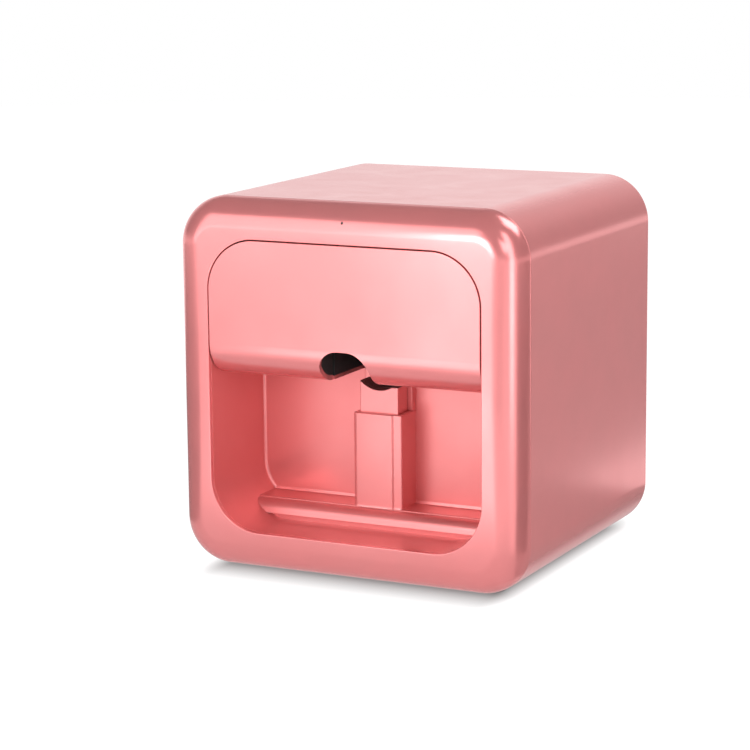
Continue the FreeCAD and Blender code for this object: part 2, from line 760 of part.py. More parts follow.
def finger_rest():
    """The slide that carries the fingertip: a scooped top, a lower right shoulder, a spring bore."""
    body = doc.addObject("PartDesign::Body", "finger_rest_body")
    face = post_front + rest_front_inset
    back_face = face + rest_depth

    def front_view(sketch):
        draw_polygon(sketch, [
            (-rest_half, rest_bottom), (rest_half, rest_bottom), (rest_half, rest_shoulder_top),
            (rest_shoulder_place, rest_shoulder_top), (rest_shoulder_place, rest_horn_top),
            (-rest_half, rest_horn_top)])
    pad(body, "rest_pad", "XZ_Plane", rest_depth, front_view, -face, True)
    pocket(body, "rest_scoop", "XZ_Plane", rest_depth + 4,
           lambda s: draw_circle(s, scoop_radius, 0, scoop_bottom + scoop_radius), 2 - face)
    dress(body, "rest_upright_rounds", "PartDesign::Fillet", 0.7,
          lambda b: near(b.YMax, face) and b.ZLength > 20)
    pocket(body, "rest_spring_bore", "XY_Plane", 14,
           lambda s: draw_circle(s, 4.6, 0, (face + back_face) / 2), rest_bottom, True)
    return body


def coil_spring(name, radius, wire, pitch, low, high, x, y):
    """A compression spring: a wire swept along a helix."""
    helix = doc.addObject("Part::Helix", name + "_path")
    bind(helix, "Pitch", pitch)
    bind(helix, "Height", size(high) - low - wire * 2)
    bind(helix, "Radius", radius)
    section = doc.addObject("Part::Circle", name + "_section")
    bind(section, "Radius", wire)
    put(section, radius, 0, 0, Rotation(Vector(1, 0, 0), 90))
    doc.recompute()
    coil = doc.addObject("Part::Sweep", name)
    coil.Sections = [section]
    coil.Spine = (helix, [f"Edge{i + 1}" for i in range(len(helix.Shape.Edges))])
    coil.Solid = True
    coil.Frenet = True
    return put(coil, x, y, size(low) + wire)


sub_part("finger_post", finger_post())
sub_part("finger_guide_rail", guide_rail())
sub_part("finger_rest", finger_rest())
sub_part("finger_rest_spring", coil_spring("rest_spring", 3.7, 0.4, 4.2, ledge_top + 2, rest_bottom + 13.5,
                                           0, rest_middle))
sub_part("spring_guide_pin", turned("spring_guide", [
    (0, 0), (4.4, 0), (4.4, 1.4), (1.9, 1.4), (1.9, 12), (1.4, 12.5), (0, 12.5)],
    (0, rest_middle, ledge_top - 4.9)))


# ---------------------------------------------------------------------------------------------
# Front door: a cover over the print chamber, hung from two goosenecks inside the bezel
# ---------------------------------------------------------------------------------------------

magnet_radius = 4


def front_door():
    """A shell that turns under at the bottom, with a fingertip notch and magnet bosses."""
    raw = block("door_raw", (-door_half, door_half), (front, door_back + 0.02), (ceiling_height, door_top))
    corners = rounded("door_corners", raw, opening_radius - door_gap,
                      lambda b: b.YLength > 10 and near(b.ZMax, door_top))
    form = rounded("door_form", corners, door_bottom_round,
                   lambda b: b.XLength > 50 and near(b.ZMax, ceiling_height) and near(b.YMax, front))
    soft = rounded("door_soft", form, door_edge_round,
                   lambda b: near(b.YMax, front) and near(b.YMin, front) and (b.ZMax > 130))
    cavity = block("door_cavity_raw", (-door_half + 2, door_half - 2),
                   (front + door_thickness, door_back + 5),
                   (ceiling_height + door_thickness, door_cheek_top))
    cavity = rounded("door_cavity", cavity, door_bottom_round - door_thickness,
                     lambda b: b.XLength > 50 and near(b.ZMax, ceiling_height + door_thickness)
                     and near(b.YMax, front + door_thickness))
    above = block("door_above", (-side, side), (front + door_thickness, door_back + 5),
                  (door_cheek_top - 0.01, door_top + 5))
    shell = trim("door_shell", soft, cavity, above)
    eased = bevelled("door_eased", shell, 1.3, 1.4,
                     lambda b: near(b.YMin, front + door_thickness) and near(b.YMax, front + door_thickness)
                     and b.ZMax > 150 and b.ZMin > 150)
    bosses = [block(f"door_boss_{side_name}", (x - 5.5, x + 5.5), (door_back - 5, door_back), (108, 121))
              for side_name, x in magnet_places]
    notch = block("notch_raw", (-notch_half, notch_half), (front - 5, door_back + 5), (90, notch_top))
    notch = rounded("notch", notch, notch_radius, lambda b: b.YLength > 10 and near(b.ZMin, notch_top))
    sockets = [drum(f"door_socket_{side_name}", "Y", magnet_radius, (x, magnet_height),
                    (door_back - 3.2, door_back + 1)) for side_name, x in magnet_places]
    return trim("door_cut", join("door_joined", eased, *bosses), notch, *sockets)


def door_notch_hood():
    """The dark tunnel inside the door that carries the notch through to the print chamber."""
    outer = block("hood_block", (-notch_half - 2, notch_half + 2),
                  (front + door_thickness, door_back - 0.2),
                  (ceiling_height + door_thickness, notch_top + 2))
    inner = block("hood_inside", (-notch_half, notch_half), (front, door_back + 5), (90, notch_top))
    keep_raw = block("hood_keep_raw", (-side, side), (front + door_thickness, door_back + 5),
                     (ceiling_height + door_thickness, 160))
    keep = rounded("hood_keep", keep_raw, door_bottom_round - door_thickness,
                   lambda b: b.XLength > 50 and near(b.ZMax, ceiling_height + door_thickness)
                   and near(b.YMax, front + door_thickness))
    return trim("hood_cut", shared("hood_fitted", outer, keep), inner)


arm_screw_rows = [("low", arm_screw_low), ("high", arm_screw_high)]
arm_screw_radius = 1.2
arm_foot_thickness = 2.4


def hinge_arm(x):
    """A gooseneck: a knuckle on the pin, a spoke, a quarter ring and a foot on the door."""
    tag = "left" if x.number < 0 else "right"
    span = (x - hinge_arm_width / 2, x + hinge_arm_width / 2)
    centre = (hinge_depth, hinge_height)
    ring = drum(f"arm_ring_{tag}", "X", gooseneck_outer, centre, span)
    bore = drum(f"arm_ring_bore_{tag}", "X", gooseneck_inner, centre, (span[0] - 1, span[1] + 1))
    quarter = block(f"arm_quarter_{tag}", span, (hinge_depth, hinge_depth + 20),
                    (hinge_height - 20, hinge_height))
    bow = shared(f"arm_bow_{tag}", trim(f"arm_hoop_{tag}", ring, bore), quarter)
    spoke = block(f"arm_spoke_{tag}", span, (hinge_depth, hinge_depth + gooseneck_outer),
                  (hinge_height - 1.7, hinge_height + 1.7))
    knuckle = drum(f"arm_knuckle_{tag}", "X", 3.1, centre, span)
    link = block(f"arm_link_{tag}", span, (front + door_thickness, hinge_depth + 0.5),
                 (hinge_height - gooseneck_outer, hinge_height - gooseneck_inner))
    foot = block(f"arm_foot_{tag}", (x - 6, x + 6),
                 (front + door_thickness, front + door_thickness + arm_foot_thickness),
                 (148, hinge_height - gooseneck_inner))
    pin_hole = drum(f"arm_pin_hole_{tag}", "X", hinge_pin_radius + running_gap, centre,
                    (span[0] - 1, span[1] + 1))
    holes = [drum(f"arm_screw_hole_{tag}_{row}", "Y", arm_screw_radius, (x, z), (front, front + 10))
             for row, z in arm_screw_rows]
    arm = join(f"arm_joined_{tag}", bow, spoke, knuckle, link, foot)
    return trim(f"arm_cut_{tag}", arm, pin_hole, *holes)


def hinge_bracket(x):
    """Two ears under the bezel's top that hold the pin, trimmed to the casing's inside."""
    tag = "left" if x.number < 0 else "right"
    outer = block(f"bracket_block_{tag}", (x - 6, x + 6), (hinge_depth - 3.6, hinge_depth + 11),
                  (hinge_height - 3.6, top))
    room = block(f"bracket_room_{tag}", (x - hinge_arm_width / 2 - 0.4, x + hinge_arm_width / 2 + 0.4),
                 (front, hinge_depth + 12), (hinge_height - 5, hinge_height + 4.6))
    hole = drum(f"bracket_hole_{tag}", "X", hinge_pin_radius, (hinge_depth, hinge_height), (x - 8, x + 8))
    return trim(f"bracket_cut_{tag}", shared(f"bracket_fitted_{tag}", outer, inner_form), room, hole)


sub_part("front_door", front_door())
sub_part("door_notch_hood", door_notch_hood())
sub_part("door_hinge_arms", group("door_hinge_arm_pair", *[
    hinge_arm(hinge_arm_place * sign) for sign in (-1, 1)]))
sub_part("hinge_brackets", group("hinge_bracket_pair", *[
    hinge_bracket(hinge_arm_place * sign) for sign in (-1, 1)]))
sub_part("hinge_pins", group("hinge_pin_set", *[
    drum(f"hinge_pin_{sign + 1}", "X", hinge_pin_radius, (hinge_depth, hinge_height),
         (hinge_arm_place * sign - 6, hinge_arm_place * sign + 6)) for sign in (-1, 1)]))
sub_part("door_magnets", group("door_magnet_set", *[
    drum(f"door_magnet_{side_name}", "Y", magnet_radius, (x, magnet_height),
         (door_back - 3.2, door_back + 0.2)) for side_name, x in magnet_places]))
sub_part("door_arm_screws", group("door_arm_screw_set", *[
    pan_head_screw(f"door_arm_screw_{sign + 1}_{row}", hinge_arm_place * sign,
                   front + door_thickness + arm_foot_thickness, z,
                   BACK, arm_screw_radius, arm_foot_thickness, 2.3, 1.4)
    for sign in (-1, 1) for row, z in arm_screw_rows]))


# ---------------------------------------------------------------------------------------------
# Chassis and the depth drive: rods, lead screw and motor carry the gantry along Y
# ---------------------------------------------------------------------------------------------

gantry_front = 12
gantry_back = 38
rod_front_end = -66
rod_back_end = 74


def base_plate():
    """The steel floor inside the sleeve, with threaded bushes for its screws and posts for the board."""
    plate = block("base_sheet", (-72, 72), (-64, 80), (floor_inside, floor_inside + sheet_metal))
    bushes = []
    holes = []
    for tag, x, y in base_screw_places:
        bushes.append(drum(f"base_bush_{tag}", "Z", 3.5, (x, y), (floor_inside + 0.5, floor_inside + 6)))
        holes.append(drum(f"base_bush_hole_{tag}", "Z", 1.45, (x, y), (floor_inside - 1, floor_inside + 7)))
    posts = [drum(f"board_post_{x + 62}_{y + 2}", "Z", 3, (x, y), (floor_inside + 0.5, board_top - 1.6))
             for x in (-62, 42) for y in (-2, 50)]
    return trim("base_drilled", join("base_joined", plate, *bushes, *posts), *holes)


frame_room = cube_form("frame_room", wall + 0.3, rear)


def side_frame(sign):
    """An upright sheet on a foot that follows the casing's rounded corner, with lightening holes."""
    tag = "left" if sign < 0 else "right"
    upright_x = span_between(86 * sign, (86 + sheet_metal) * sign)
    foot_x = span_between(66 * sign, 86.5 * sign)
    floor = floor_inside + sheet_metal
    upright = block(f"frame_upright_{tag}", upright_x, (-68, 78), (floor, 176))
    foot = block(f"frame_foot_{tag}", foot_x, (-28, 78), (floor, floor + 5))
    fitted = shared(f"frame_fitted_{tag}", join(f"frame_joined_{tag}", upright, foot), frame_room)
    relief = block(f"frame_relief_{tag}", (sign * 92 - 20, sign * 92 + 20), (-90, -28), (0, 118))
    across = (sign * 90 - 10, sign * 90 + 10)
    windows = [drum(f"frame_window_{tag}_{y}_{z}", "X", frame_window_radius, (y, z), across)
               for y in (-8, 20, 48) for z in (44, 76)]
    return trim(f"frame_cut_{tag}", fitted, relief, *windows)


def rod_holders(y_low, y_high, name):
    """A pair of blocks on the side frames that clamp the ends of the depth rods."""
    holders = []
    for sign in (-1, 1):
        reach = span_between(sign * 69, sign * 86)
        body = block(f"{name}_block_{sign + 1}", reach, (y_low, y_high), (rod_height - 9, screw_height + 8))
        rod_hole = drum(f"{name}_rod_hole_{sign + 1}", "Y", rod_radius,
                        (rod_spacing_half * sign, rod_height), (y_low - 1, y_high + 1))
        screw_hole = drum(f"{name}_screw_hole_{sign + 1}", "Y", screw_radius + running_gap,
                          (rod_spacing_half * sign, screw_height), (y_low - 1, y_high + 1))
        holders.append(trim(f"{name}_holder_{sign + 1}", body, rod_hole, screw_hole))
    return holders


sub_part("base_plate", base_plate())
sub_part("side_frame_left", side_frame(-1))
sub_part("side_frame_right", side_frame(1))
sub_part("rod_holders", group("rod_holder_set", *rod_holders(rod_front_end, rod_front_end + 8, "front"),
                              *rod_holders(rod_back_end - 8, rod_back_end, "rear")))
sub_part("depth_rods", group("depth_rod_pair", *[
    drum(f"depth_rod_{sign + 1}", "Y", rod_radius, (rod_spacing_half * sign, rod_height),
         (rod_front_end, rod_back_end)) for sign in (-1, 1)]))


def lead_screw():
    """The threaded shaft that moves the gantry: a bar with a row of rounded grooves between plain ends."""
    length, plain, pitch, count = 148, 10, 4, 30
    body = turned("lead_screw_turned", [
        (0, 0), (screw_radius - 0.4, 0), (screw_radius, 0.6), (screw_radius, length - 0.6),
        (screw_radius - 0.4, length), (0, length)])
    sketch = body_sketch(body, "XZ_Plane", "lead_screw_groove_section")
    draw_polygon(sketch, [
        (screw_radius - 0.5, plain + 0.9), (screw_radius + 0.5, plain), (screw_radius + 0.5, plain + 3),
        (screw_radius - 0.5, plain + 2.1)])
    groove = body.newObject("PartDesign::Groove", "lead_screw_groove")
    groove.Profile = sketch
    groove.ReferenceAxis = (sketch, ["V_Axis"])
    groove.Angle = 360
    row = body.newObject("PartDesign::LinearPattern", "lead_screw_grooves")
    row.Originals = [groove]
    row.Direction = (sketch, ["V_Axis"])
    row.Length = pitch * (count - 1)
    row.Occurrences = count
    body.Tip = row
    return put(body, rod_spacing_half, rod_front_end, screw_height, BACK)


sub_part("lead_screw", lead_screw())
depth_motor_length = 11.5
sub_part("depth_motor", turned("depth_motor_can", [
    (0, 0), (10, 0), (10, 3), (9.3, 3.4), (9.3, 8), (10, 8.4), (10, depth_motor_length),
    (screw_radius + running_gap, depth_motor_length), (screw_radius + running_gap, 3), (0, 3)],
    (rod_spacing_half, rod_back_end + depth_motor_length, screw_height), FORWARD))


# ---------------------------------------------------------------------------------------------
# Gantry: two blocks on the depth rods, joined by cross rods and a beam, with the belt drive
# ---------------------------------------------------------------------------------------------

def gantry_block(sign):
    """A moulded end block that runs on its depth rod and holds the cross rods."""
    tag = "left" if sign < 0 else "right"
    reach = span_between(sign * 66, sign * 84)
    body = block(f"gantry_mass_{tag}", reach, (gantry_front, gantry_back), (rod_height - 11, 182))
    body = rounded(f"gantry_soft_{tag}", body, 2, lambda b: b.YLength > 20)
    holes = [drum(f"gantry_bush_hole_{tag}", "Y", rod_radius + 2, (rod_spacing_half * sign, rod_height),
                  (0, 60))]
    for level, z in (("lower", cross_rod_low), ("upper", cross_rod_high)):
        holes.append(drum(f"gantry_rod_hole_{tag}_{level}", "X", cross_rod_radius, (cross_rod_depth, z),
                          span_between(sign * 60, sign * 72)))
    if sign > 0:
        holes.append(drum("gantry_nut_hole", "Y", 5, (rod_spacing_half, screw_height), (0, 60)))
    return trim(f"gantry_drilled_{tag}", body, *holes)


shaft_radius = 2


def toothed_pulley(name, x):
    """A belt pulley with two rims, teeth grooves and a bore for its shaft."""
    body = doc.addObject("PartDesign::Body", name + "_body")
    sketch = body_sketch(body, "XZ_Plane", name + "_section")
    bore, rim = shaft_radius + running_gap, pulley_radius + 1.6
    draw_polygon(sketch, [
        (bore, 0), (rim, 0), (rim, 0.8), (pulley_radius, 0.8), (pulley_radius, belt_width + 1.4),
        (rim, belt_width + 1.4), (rim, belt_width + 2.2), (bore, belt_width + 2.2)])
    spin = body.newObject("PartDesign::Revolution", name + "_spin")
    spin.Profile = sketch
    spin.ReferenceAxis = (sketch, ["V_Axis"])
    spin.Angle = 360
    groove = pocket(body, name + "_groove", "XY_Plane", belt_width + 0.6,
                    lambda s: rectangle(s, -0.4, pulley_radius - 0.5, 0.4, pulley_radius + 0.5), 0.8, True)
    ring = body.newObject("PartDesign::PolarPattern", name + "_teeth")
    ring.Originals = [groove]
    ring.Axis = (sketch, ["V_Axis"])
    ring.Angle = 360
    ring.Occurrences = 18
    body.Tip = ring
    return put(body, x, belt_front - 1.1, pulley_height, BACK)


def drive_belt():
    """A flat loop round the two pulleys."""
    def loop(name, grow, y):
        left = drum(name + "_left", "Y", pulley_radius + grow, (-pulley_place, pulley_height), y)
        right = drum(name + "_right", "Y", pulley_radius + grow, (pulley_place, pulley_height), y)
        middle = block(name + "_middle", (-pulley_place, pulley_place), y,
                       (pulley_height - pulley_radius - grow, pulley_height + pulley_radius + grow))
        return join(name, left, right, middle)
    gap = 0.3
    outer = loop("belt_outer", belt_thickness + gap, (belt_front, belt_front + belt_width))
    inner = loop("belt_inner", size(gap), (belt_front - 1, belt_front + belt_width + 1))
    return trim("belt_cut", outer, inner)


for side_name, side_sign in (("left", -1), ("right", 1)):
    sub_part(f"gantry_block_{side_name}", gantry_block(side_sign))
sub_part("gantry_bushes", group("gantry_bush_set", *[
    trim(f"gantry_bush_{sign + 1}_{y}",
         drum(f"gantry_bush_outer_{sign + 1}_{y}", "Y", rod_radius + 2, (rod_spacing_half * sign, rod_height),
              (y, y + 10)),
         drum(f"gantry_bush_bore_{sign + 1}_{y}", "Y", rod_radius + running_gap,
              (rod_spacing_half * sign, rod_height), (y - 1, y + 11)))
    for sign in (-1, 1) for y in (gantry_front, gantry_back - 10)]))
sub_part("lead_nut", trim(
    "lead_nut_cut",
    join("lead_nut_joined",
         drum("lead_nut_barrel", "Y", 5, (rod_spacing_half, screw_height),
              (gantry_front - 2, gantry_back)),
         drum("lead_nut_flange", "Y", 8, (rod_spacing_half, screw_height),
              (gantry_front - 4, gantry_front))),
    drum("lead_nut_bore", "Y", screw_radius + running_gap, (rod_spacing_half, screw_height), (0, 60))))
sub_part("cross_rods", group("cross_rod_pair", *[
    drum(f"cross_rod_{level}", "X", cross_rod_radius, (cross_rod_depth, height), (-72, 72))
    for level, height in (("lower", cross_rod_low), ("upper", cross_rod_high))]))
sub_part("gantry_beam", trim(
    "gantry_beam_cut",
    block("gantry_beam_sheet", (-82, 82), (gantry_back, gantry_back + sheet_metal), (146, 168)),
    drum("gantry_beam_screw_hole", "Y", 5.2, (rod_spacing_half, screw_height), (30, 50)),
    drum("gantry_beam_shaft_hole", "Y", 5, (-pulley_place, pulley_height), (30, 50)),
    drum("gantry_beam_idler_hole", "Y", shaft_radius, (pulley_place, pulley_height), (30, 50))))
sub_part("drive_pulley", toothed_pulley("drive_pulley", -pulley_place))
sub_part("idler_pulley", toothed_pulley("idler_pulley", pulley_place))
sub_part("idler_pin", turned("idler_pin_turned", [
    (0, 0), (3, 0), (3, 1), (shaft_radius, 1), (shaft_radius, 12.6), (3.2, 12.6), (3.2, 14.2), (0, 14.2)],
    (pulley_place, 26.9, pulley_height), BACK))
sub_part("cross_motor", turned("cross_motor_can", [
    (0, 0), (13, 0), (13, 5), (12.4, 5.4), (12.4, 12.6), (13, 13), (13, 18), (4.5, 18), (4.5, 19.5),
    (shaft_radius, 19.5), (shaft_radius, 30.1), (0, 30.1)],
    (-pulley_place, gantry_back + sheet_metal + 18, pulley_height), FORWARD))
sub_part("drive_belt", drive_belt())


# ---------------------------------------------------------------------------------------------
# Carriage: the cradle, its bushes, the ink cartridge, its latch and the camera
# ---------------------------------------------------------------------------------------------

cradle_front = -40
cradle_back = 16
cradle_floor = 124
cartridge_top = 168
latch_depth = 10
latch_height = 173
latch_pin_radius = 1.5


def carriage_x(offset):
    return carriage_place + offset


def carriage_frame():
    """The cradle: floor with a nozzle hole, side walls, rear wall, bush housings and belt clamp."""
    left, right = carriage_x(-carriage_half), carriage_x(carriage_half)
    pieces = [
        block("cradle_floor_plate", (left, right), (cradle_front, cradle_back),
              (cradle_floor, cradle_floor + 2)),
        block("cradle_left_wall", (left, left + 2.4), (cradle_front, cradle_back), (cradle_floor, 152)),
        block("cradle_right_wall", (right - 2.4, right), (cradle_front, cradle_back), (cradle_floor, 152)),
        block("cradle_front_lip", (left, right), (cradle_front, cradle_front + 2), (cradle_floor, 134)),
        block("cradle_rear_wall", (left, right), (cradle_back - 3, cradle_back), (cradle_floor, 180)),
        block("cradle_low_housing", (left, right), (cradle_back - 1, 28),
              (cross_rod_low - 6, cross_rod_low + 6)),
        block("cradle_high_housing", (left, right), (cradle_back - 1, 28), (cross_rod_high - 6, 180)),
        block("cradle_belt_arm", (carriage_x(-9), carriage_x(1)), (27, 37), (162.2, 168)),
    ]
    for x in (-12, 12):
        pieces.append(block(f"cradle_latch_ear_{x + 12}", (carriage_x(x - 1.5), carriage_x(x + 1.5)),
                            (latch_depth - 4, latch_depth + 4), (168, latch_height + 5)))
    pieces.append(block("cradle_camera_shelf", (left - 14, left + 1), (cradle_front + 2, cradle_front + 20),
                        (144, 146.4)))
    holes = [
        block("cradle_nozzle_hole", (carriage_x(-9), carriage_x(9)), (cradle_front + 2, cradle_front + 20),
              (120, 130)),
        drum("cradle_low_bush_hole", "X", cross_rod_radius + 1.5, (cross_rod_depth, cross_rod_low),
             (left - 1, right + 1)),
        drum("cradle_high_bush_hole", "X", cross_rod_radius + 1.5, (cross_rod_depth, cross_rod_high),
             (left - 1, right + 1)),
        block("cradle_belt_slot", (carriage_x(-12), carriage_x(4)),
              (belt_front - 0.5, belt_front + belt_width + 0.5),
              (150, pulley_height + pulley_radius + belt_thickness + 0.6)),
        drum("cradle_latch_pin_hole", "X", latch_pin_radius, (latch_depth, latch_height), (left, right)),
    ]
    return trim("cradle_cut", join("cradle_joined", *pieces), *holes)


def ink_cartridge():
    """The ink tank with a stepped front, a snout for the print head and a grip ridge."""
    left, right = carriage_x(-12.8), carriage_x(12.8)
    tank = block("tank", (left, right), (cradle_front + 2.6, cradle_back - 3.2),
                 (cradle_floor + 2, cartridge_top))
    tank = rounded("tank_soft", tank, 1.5, lambda b: b.ZLength > 20)
    snout = block("tank_snout", (carriage_x(-7.5), carriage_x(7.5)), (cradle_front + 4, cradle_front + 18),
                  (cradle_floor - 1.2, cradle_floor + 4))
    grip = block("tank_grip", (carriage_x(-9), carriage_x(9)), (cradle_front + 1, cradle_front + 4),
                 (cartridge_top - 16, cartridge_top - 9))
    step = block("tank_step", (left - 1, right + 1), (cradle_front, cradle_front + 12),
                 (cartridge_top - 7, cartridge_top + 5))
    return trim("tank_cut", join("tank_joined", tank, snout, grip), step)


def cartridge_latch():
    """The lever over the cartridge: a pressed tongue between two knuckles."""
    low, high = cartridge_top + 0.5, cartridge_top + 2.5
    tongue = block("latch_tongue", (carriage_x(-8), carriage_x(8)), (-14, latch_depth), (low + 1, high + 1))
    pad_block = block("latch_pad", (carriage_x(-6), carriage_x(6)), (-13, -8), (low, low + 2))
    tab = block("latch_tab", (carriage_x(-6), carriage_x(6)), (-16, -13), (low + 1, high + 3))
    knuckle = drum("latch_knuckle", "X", 2.6, (latch_depth, latch_height), (carriage_x(-8), carriage_x(8)))
    hole = drum("latch_bore", "X", latch_pin_radius + running_gap, (latch_depth, latch_height),
                (carriage_x(-10), carriage_x(10)))
    return trim("latch_cut", join("latch_joined", tongue, pad_block, tab, knuckle), hole)


sub_part("carriage_frame", carriage_frame())
sub_part("carriage_bushes", group("carriage_bush_set", *[
    trim(f"carriage_bush_{i}",
         drum(f"carriage_bush_outer_{i}", "X", cross_rod_radius + 1.5, (cross_rod_depth, z),
              (carriage_x(x), carriage_x(x + 9))),
         drum(f"carriage_bush_bore_{i}", "X", cross_rod_radius + running_gap, (cross_rod_depth, z),
              (carriage_x(x - 1), carriage_x(x + 10))))
    for i, (x, z) in enumerate(((-17, cross_rod_low), (8, cross_rod_low), (-17, cross_rod_high),
                                (8, cross_rod_high)))]))
sub_part("ink_cartridge", ink_cartridge())
sub_part("cartridge_latch", cartridge_latch())
sub_part("latch_pin", drum("latch_pin_bar", "X", latch_pin_radius, (latch_depth, latch_height),
                           (carriage_x(-13.5), carriage_x(13.5))))
sub_part("camera_module", join(
    "camera_joined",
    block("camera_board", (carriage_x(-30), carriage_x(-18)), (cradle_front + 3, cradle_front + 17),
          (142.4, 144)),
    drum("camera_barrel", "Z", 4.2, (carriage_x(-24), cradle_front + 10), (133, 142.4))))
sub_part("camera_lens", turned("camera_lens_turned", [
    (0, 0.6), (2, 0.4), (3.2, 0), (3.2, 2), (0, 2)], (carriage_x(-24), cradle_front + 10, 131)))


# ---------------------------------------------------------------------------------------------
# Capping station and waste pad beside the print chamber
# ---------------------------------------------------------------------------------------------

cap_y = cradle_front + 11
cap_tower_top = 119.4
sub_part("capping_station", trim(
    "capping_cut",
    join("capping_joined",
         block("capping_base", (carriage_x(-16), carriage_x(16)), (cap_y - 14, cap_y + 12),
               (ceiling_top, ceiling_top + 3)),
         block("capping_tower", (carriage_x(-8), carriage_x(8)), (cap_y - 8, cap_y + 8),
               (ceiling_top + 2, cap_tower_top))),
    block("capping_well", (carriage_x(-5), carriage_x(5)), (cap_y - 5, cap_y + 5),
          (cap_tower_top - 5.4, cap_tower_top + 5))))
sub_part("cap_seal", trim(
    "cap_seal_cut",
    block("cap_seal_ring", (carriage_x(-7.4), carriage_x(7.4)), (cap_y - 7.4, cap_y + 7.4),
          (cap_tower_top, cap_tower_top + 2.4)),
    block("cap_seal_hole", (carriage_x(-5.6), carriage_x(5.6)), (cap_y - 5.6, cap_y + 5.6),
          (cap_tower_top - 1, cap_tower_top + 4))))


# ---------------------------------------------------------------------------------------------
# Rear fittings: power button, inlet, port and fan
# ---------------------------------------------------------------------------------------------

sub_part("power_button", turned("power_button_turned", [
    (0, 0), (3, 0), (3, 2.2), (button_radius, 2.2), (button_radius, 8.1), (button_radius - 0.6, 8.7),
    (3, 8.3), (0, 8.1)],
    (button_x, panel_outside - 7.6, button_z), BACK))
sub_part("button_housing", trim(
    "button_housing_cut",
    join("button_housing_joined",
         drum("button_housing_cup", "Y", 9.5, (button_x, button_z), (panel_inside - 9, panel_inside)),
         block("button_housing_plate", (button_x - 14, button_x + 14), (panel_inside - 1.6, panel_inside),
               (button_z - 10, button_z + 10))),
    drum("button_housing_bore", "Y", button_radius + 0.3, (button_x, button_z),
         (panel_inside - 7.5, panel_inside + 1)),
    drum("button_housing_stem_hole", "Y", 3.3, (button_x, button_z),
         (panel_inside - 12, panel_inside + 1))))
sub_part("power_switch", join(
    "power_switch_joined",
    block("power_switch_case", (button_x - 5, button_x + 5), (panel_inside - 15.5, panel_inside - 9),
          (button_z - 5, button_z + 5)),
    drum("power_switch_stem", "Y", 1.4, (button_x, button_z), (panel_inside - 9.5, panel_inside - 7))))
sub_part("power_inlet", trim(
    "power_inlet_cut",
    join("power_inlet_joined",
         block("power_inlet_block", (inlet_x - 5.5, inlet_x + 5.5), (panel_inside - 12, panel_inside),
               (inlet_z - 6, inlet_z + 5.5)),
         drum("power_inlet_nose", "Y", 4.2, (inlet_x, inlet_z), (panel_inside - 1, panel_outside + 0.2))),
    trim("power_inlet_socket",
         drum("power_inlet_bore", "Y", 2.8, (inlet_x, inlet_z), (panel_inside - 8, panel_outside + 2)),
         drum("power_inlet_core", "Y", 0.95, (inlet_x, inlet_z), (panel_inside - 9, panel_outside - 1)))))
sub_part("data_port", join(
    "data_port_joined",
    trim("data_port_shell",
         join("data_port_outside",
              block("data_port_case", (port_x - 7, port_x + 7), (panel_inside - 12, panel_outside + 0.2),
                    (port_z - 3, port_z + 3)),
              block("data_port_flange", (port_x - 10, port_x + 10), (panel_inside - 1.5, panel_inside),
                    (port_z - 6, port_z + 6))),
         block("data_port_inner", (port_x - 6.4, port_x + 6.4), (panel_inside - 9, panel_outside + 2),
               (port_z - 2.4, port_z + 2.4))),
    block("data_port_tongue", (port_x - 5.8, port_x + 5.8), (panel_inside - 9.5, panel_outside - 1),
          (port_z + 0.4, port_z + 2))))

fan_depth = 11
fan_front = panel_inside - fan_depth
duct_radius = 23.4
spindle_radius = 1.4


def fan_frame():
    """A square fan housing with a round duct, four struts and a motor seat."""
    frame = block("fan_square", (fan_x - 25, fan_x + 25), (fan_front, panel_inside), (fan_z - 25, fan_z + 25))
    frame = rounded("fan_square_soft", frame, 3, lambda b: b.XLength < 0.1 and b.ZLength < 0.1)
    through = (fan_front - 1, panel_inside + 1)
    duct = drum("fan_duct", "Y", duct_radius, (fan_x, fan_z), through)
    corners = [drum(f"fan_hole_{i}_{k}", "Y", 1.8, (fan_x + i * 21, fan_z + k * 21), through)
               for i in (-1, 1) for k in (-1, 1)]
    shell = trim("fan_shell", frame, duct, *corners)
    seat = drum("fan_seat", "Y", 9, (fan_x, fan_z), (fan_front, fan_front + 1.6))
    spindle = drum("fan_spindle", "Y", spindle_radius, (fan_x, fan_z), (fan_front + 1, fan_front + 7))
    struts = [
        block("fan_strut_across", (fan_x - 24, fan_x + 24), (fan_front, fan_front + 1.4),
              (fan_z - 1.5, fan_z + 1.5)),
        block("fan_strut_up", (fan_x - 1.5, fan_x + 1.5), (fan_front, fan_front + 1.4),
              (fan_z - 24, fan_z + 24))]
    return join("fan_frame_joined", shell, seat, spindle, *struts)


def fan_rotor():
    """A hub with seven pitched blades, bored for the spindle."""
    body = doc.addObject("PartDesign::Body", "fan_rotor_body")
    sketch = body_sketch(body, "XZ_Plane", "rotor_hub_section")
    bore = spindle_radius + running_gap
    draw_polygon(sketch, [(bore, 1.2), (bore, 5.8), (0, 5.8), (0, 7.6), (8.6, 7.6), (9.4, 6.8), (9.4, 0),
                          (8.2, 0), (8.2, 1.2)])
    spin = body.newObject("PartDesign::Revolution", "rotor_hub")
    spin.Profile = sketch
    spin.ReferenceAxis = (sketch, ["V_Axis"])
    spin.Angle = 360
    blade = pad(body, "rotor_blade", "YZ_Plane", 13.2,
                lambda s: draw_polygon(s, [(-5.2, 0.5), (-4.2, 0.3), (5.2, 6.6), (4.4, 7.3)]), 9)
    ring = body.newObject("PartDesign::PolarPattern", "rotor_blades")
    ring.Originals = [blade]
    ring.Axis = (sketch, ["V_Axis"])
    ring.Angle = 360
    ring.Occurrences = 7
    body.Tip = ring
    return put(body, fan_x, fan_front + 1.9, fan_z, BACK)


sub_part("fan_frame", fan_frame())
sub_part("fan_rotor", fan_rotor())


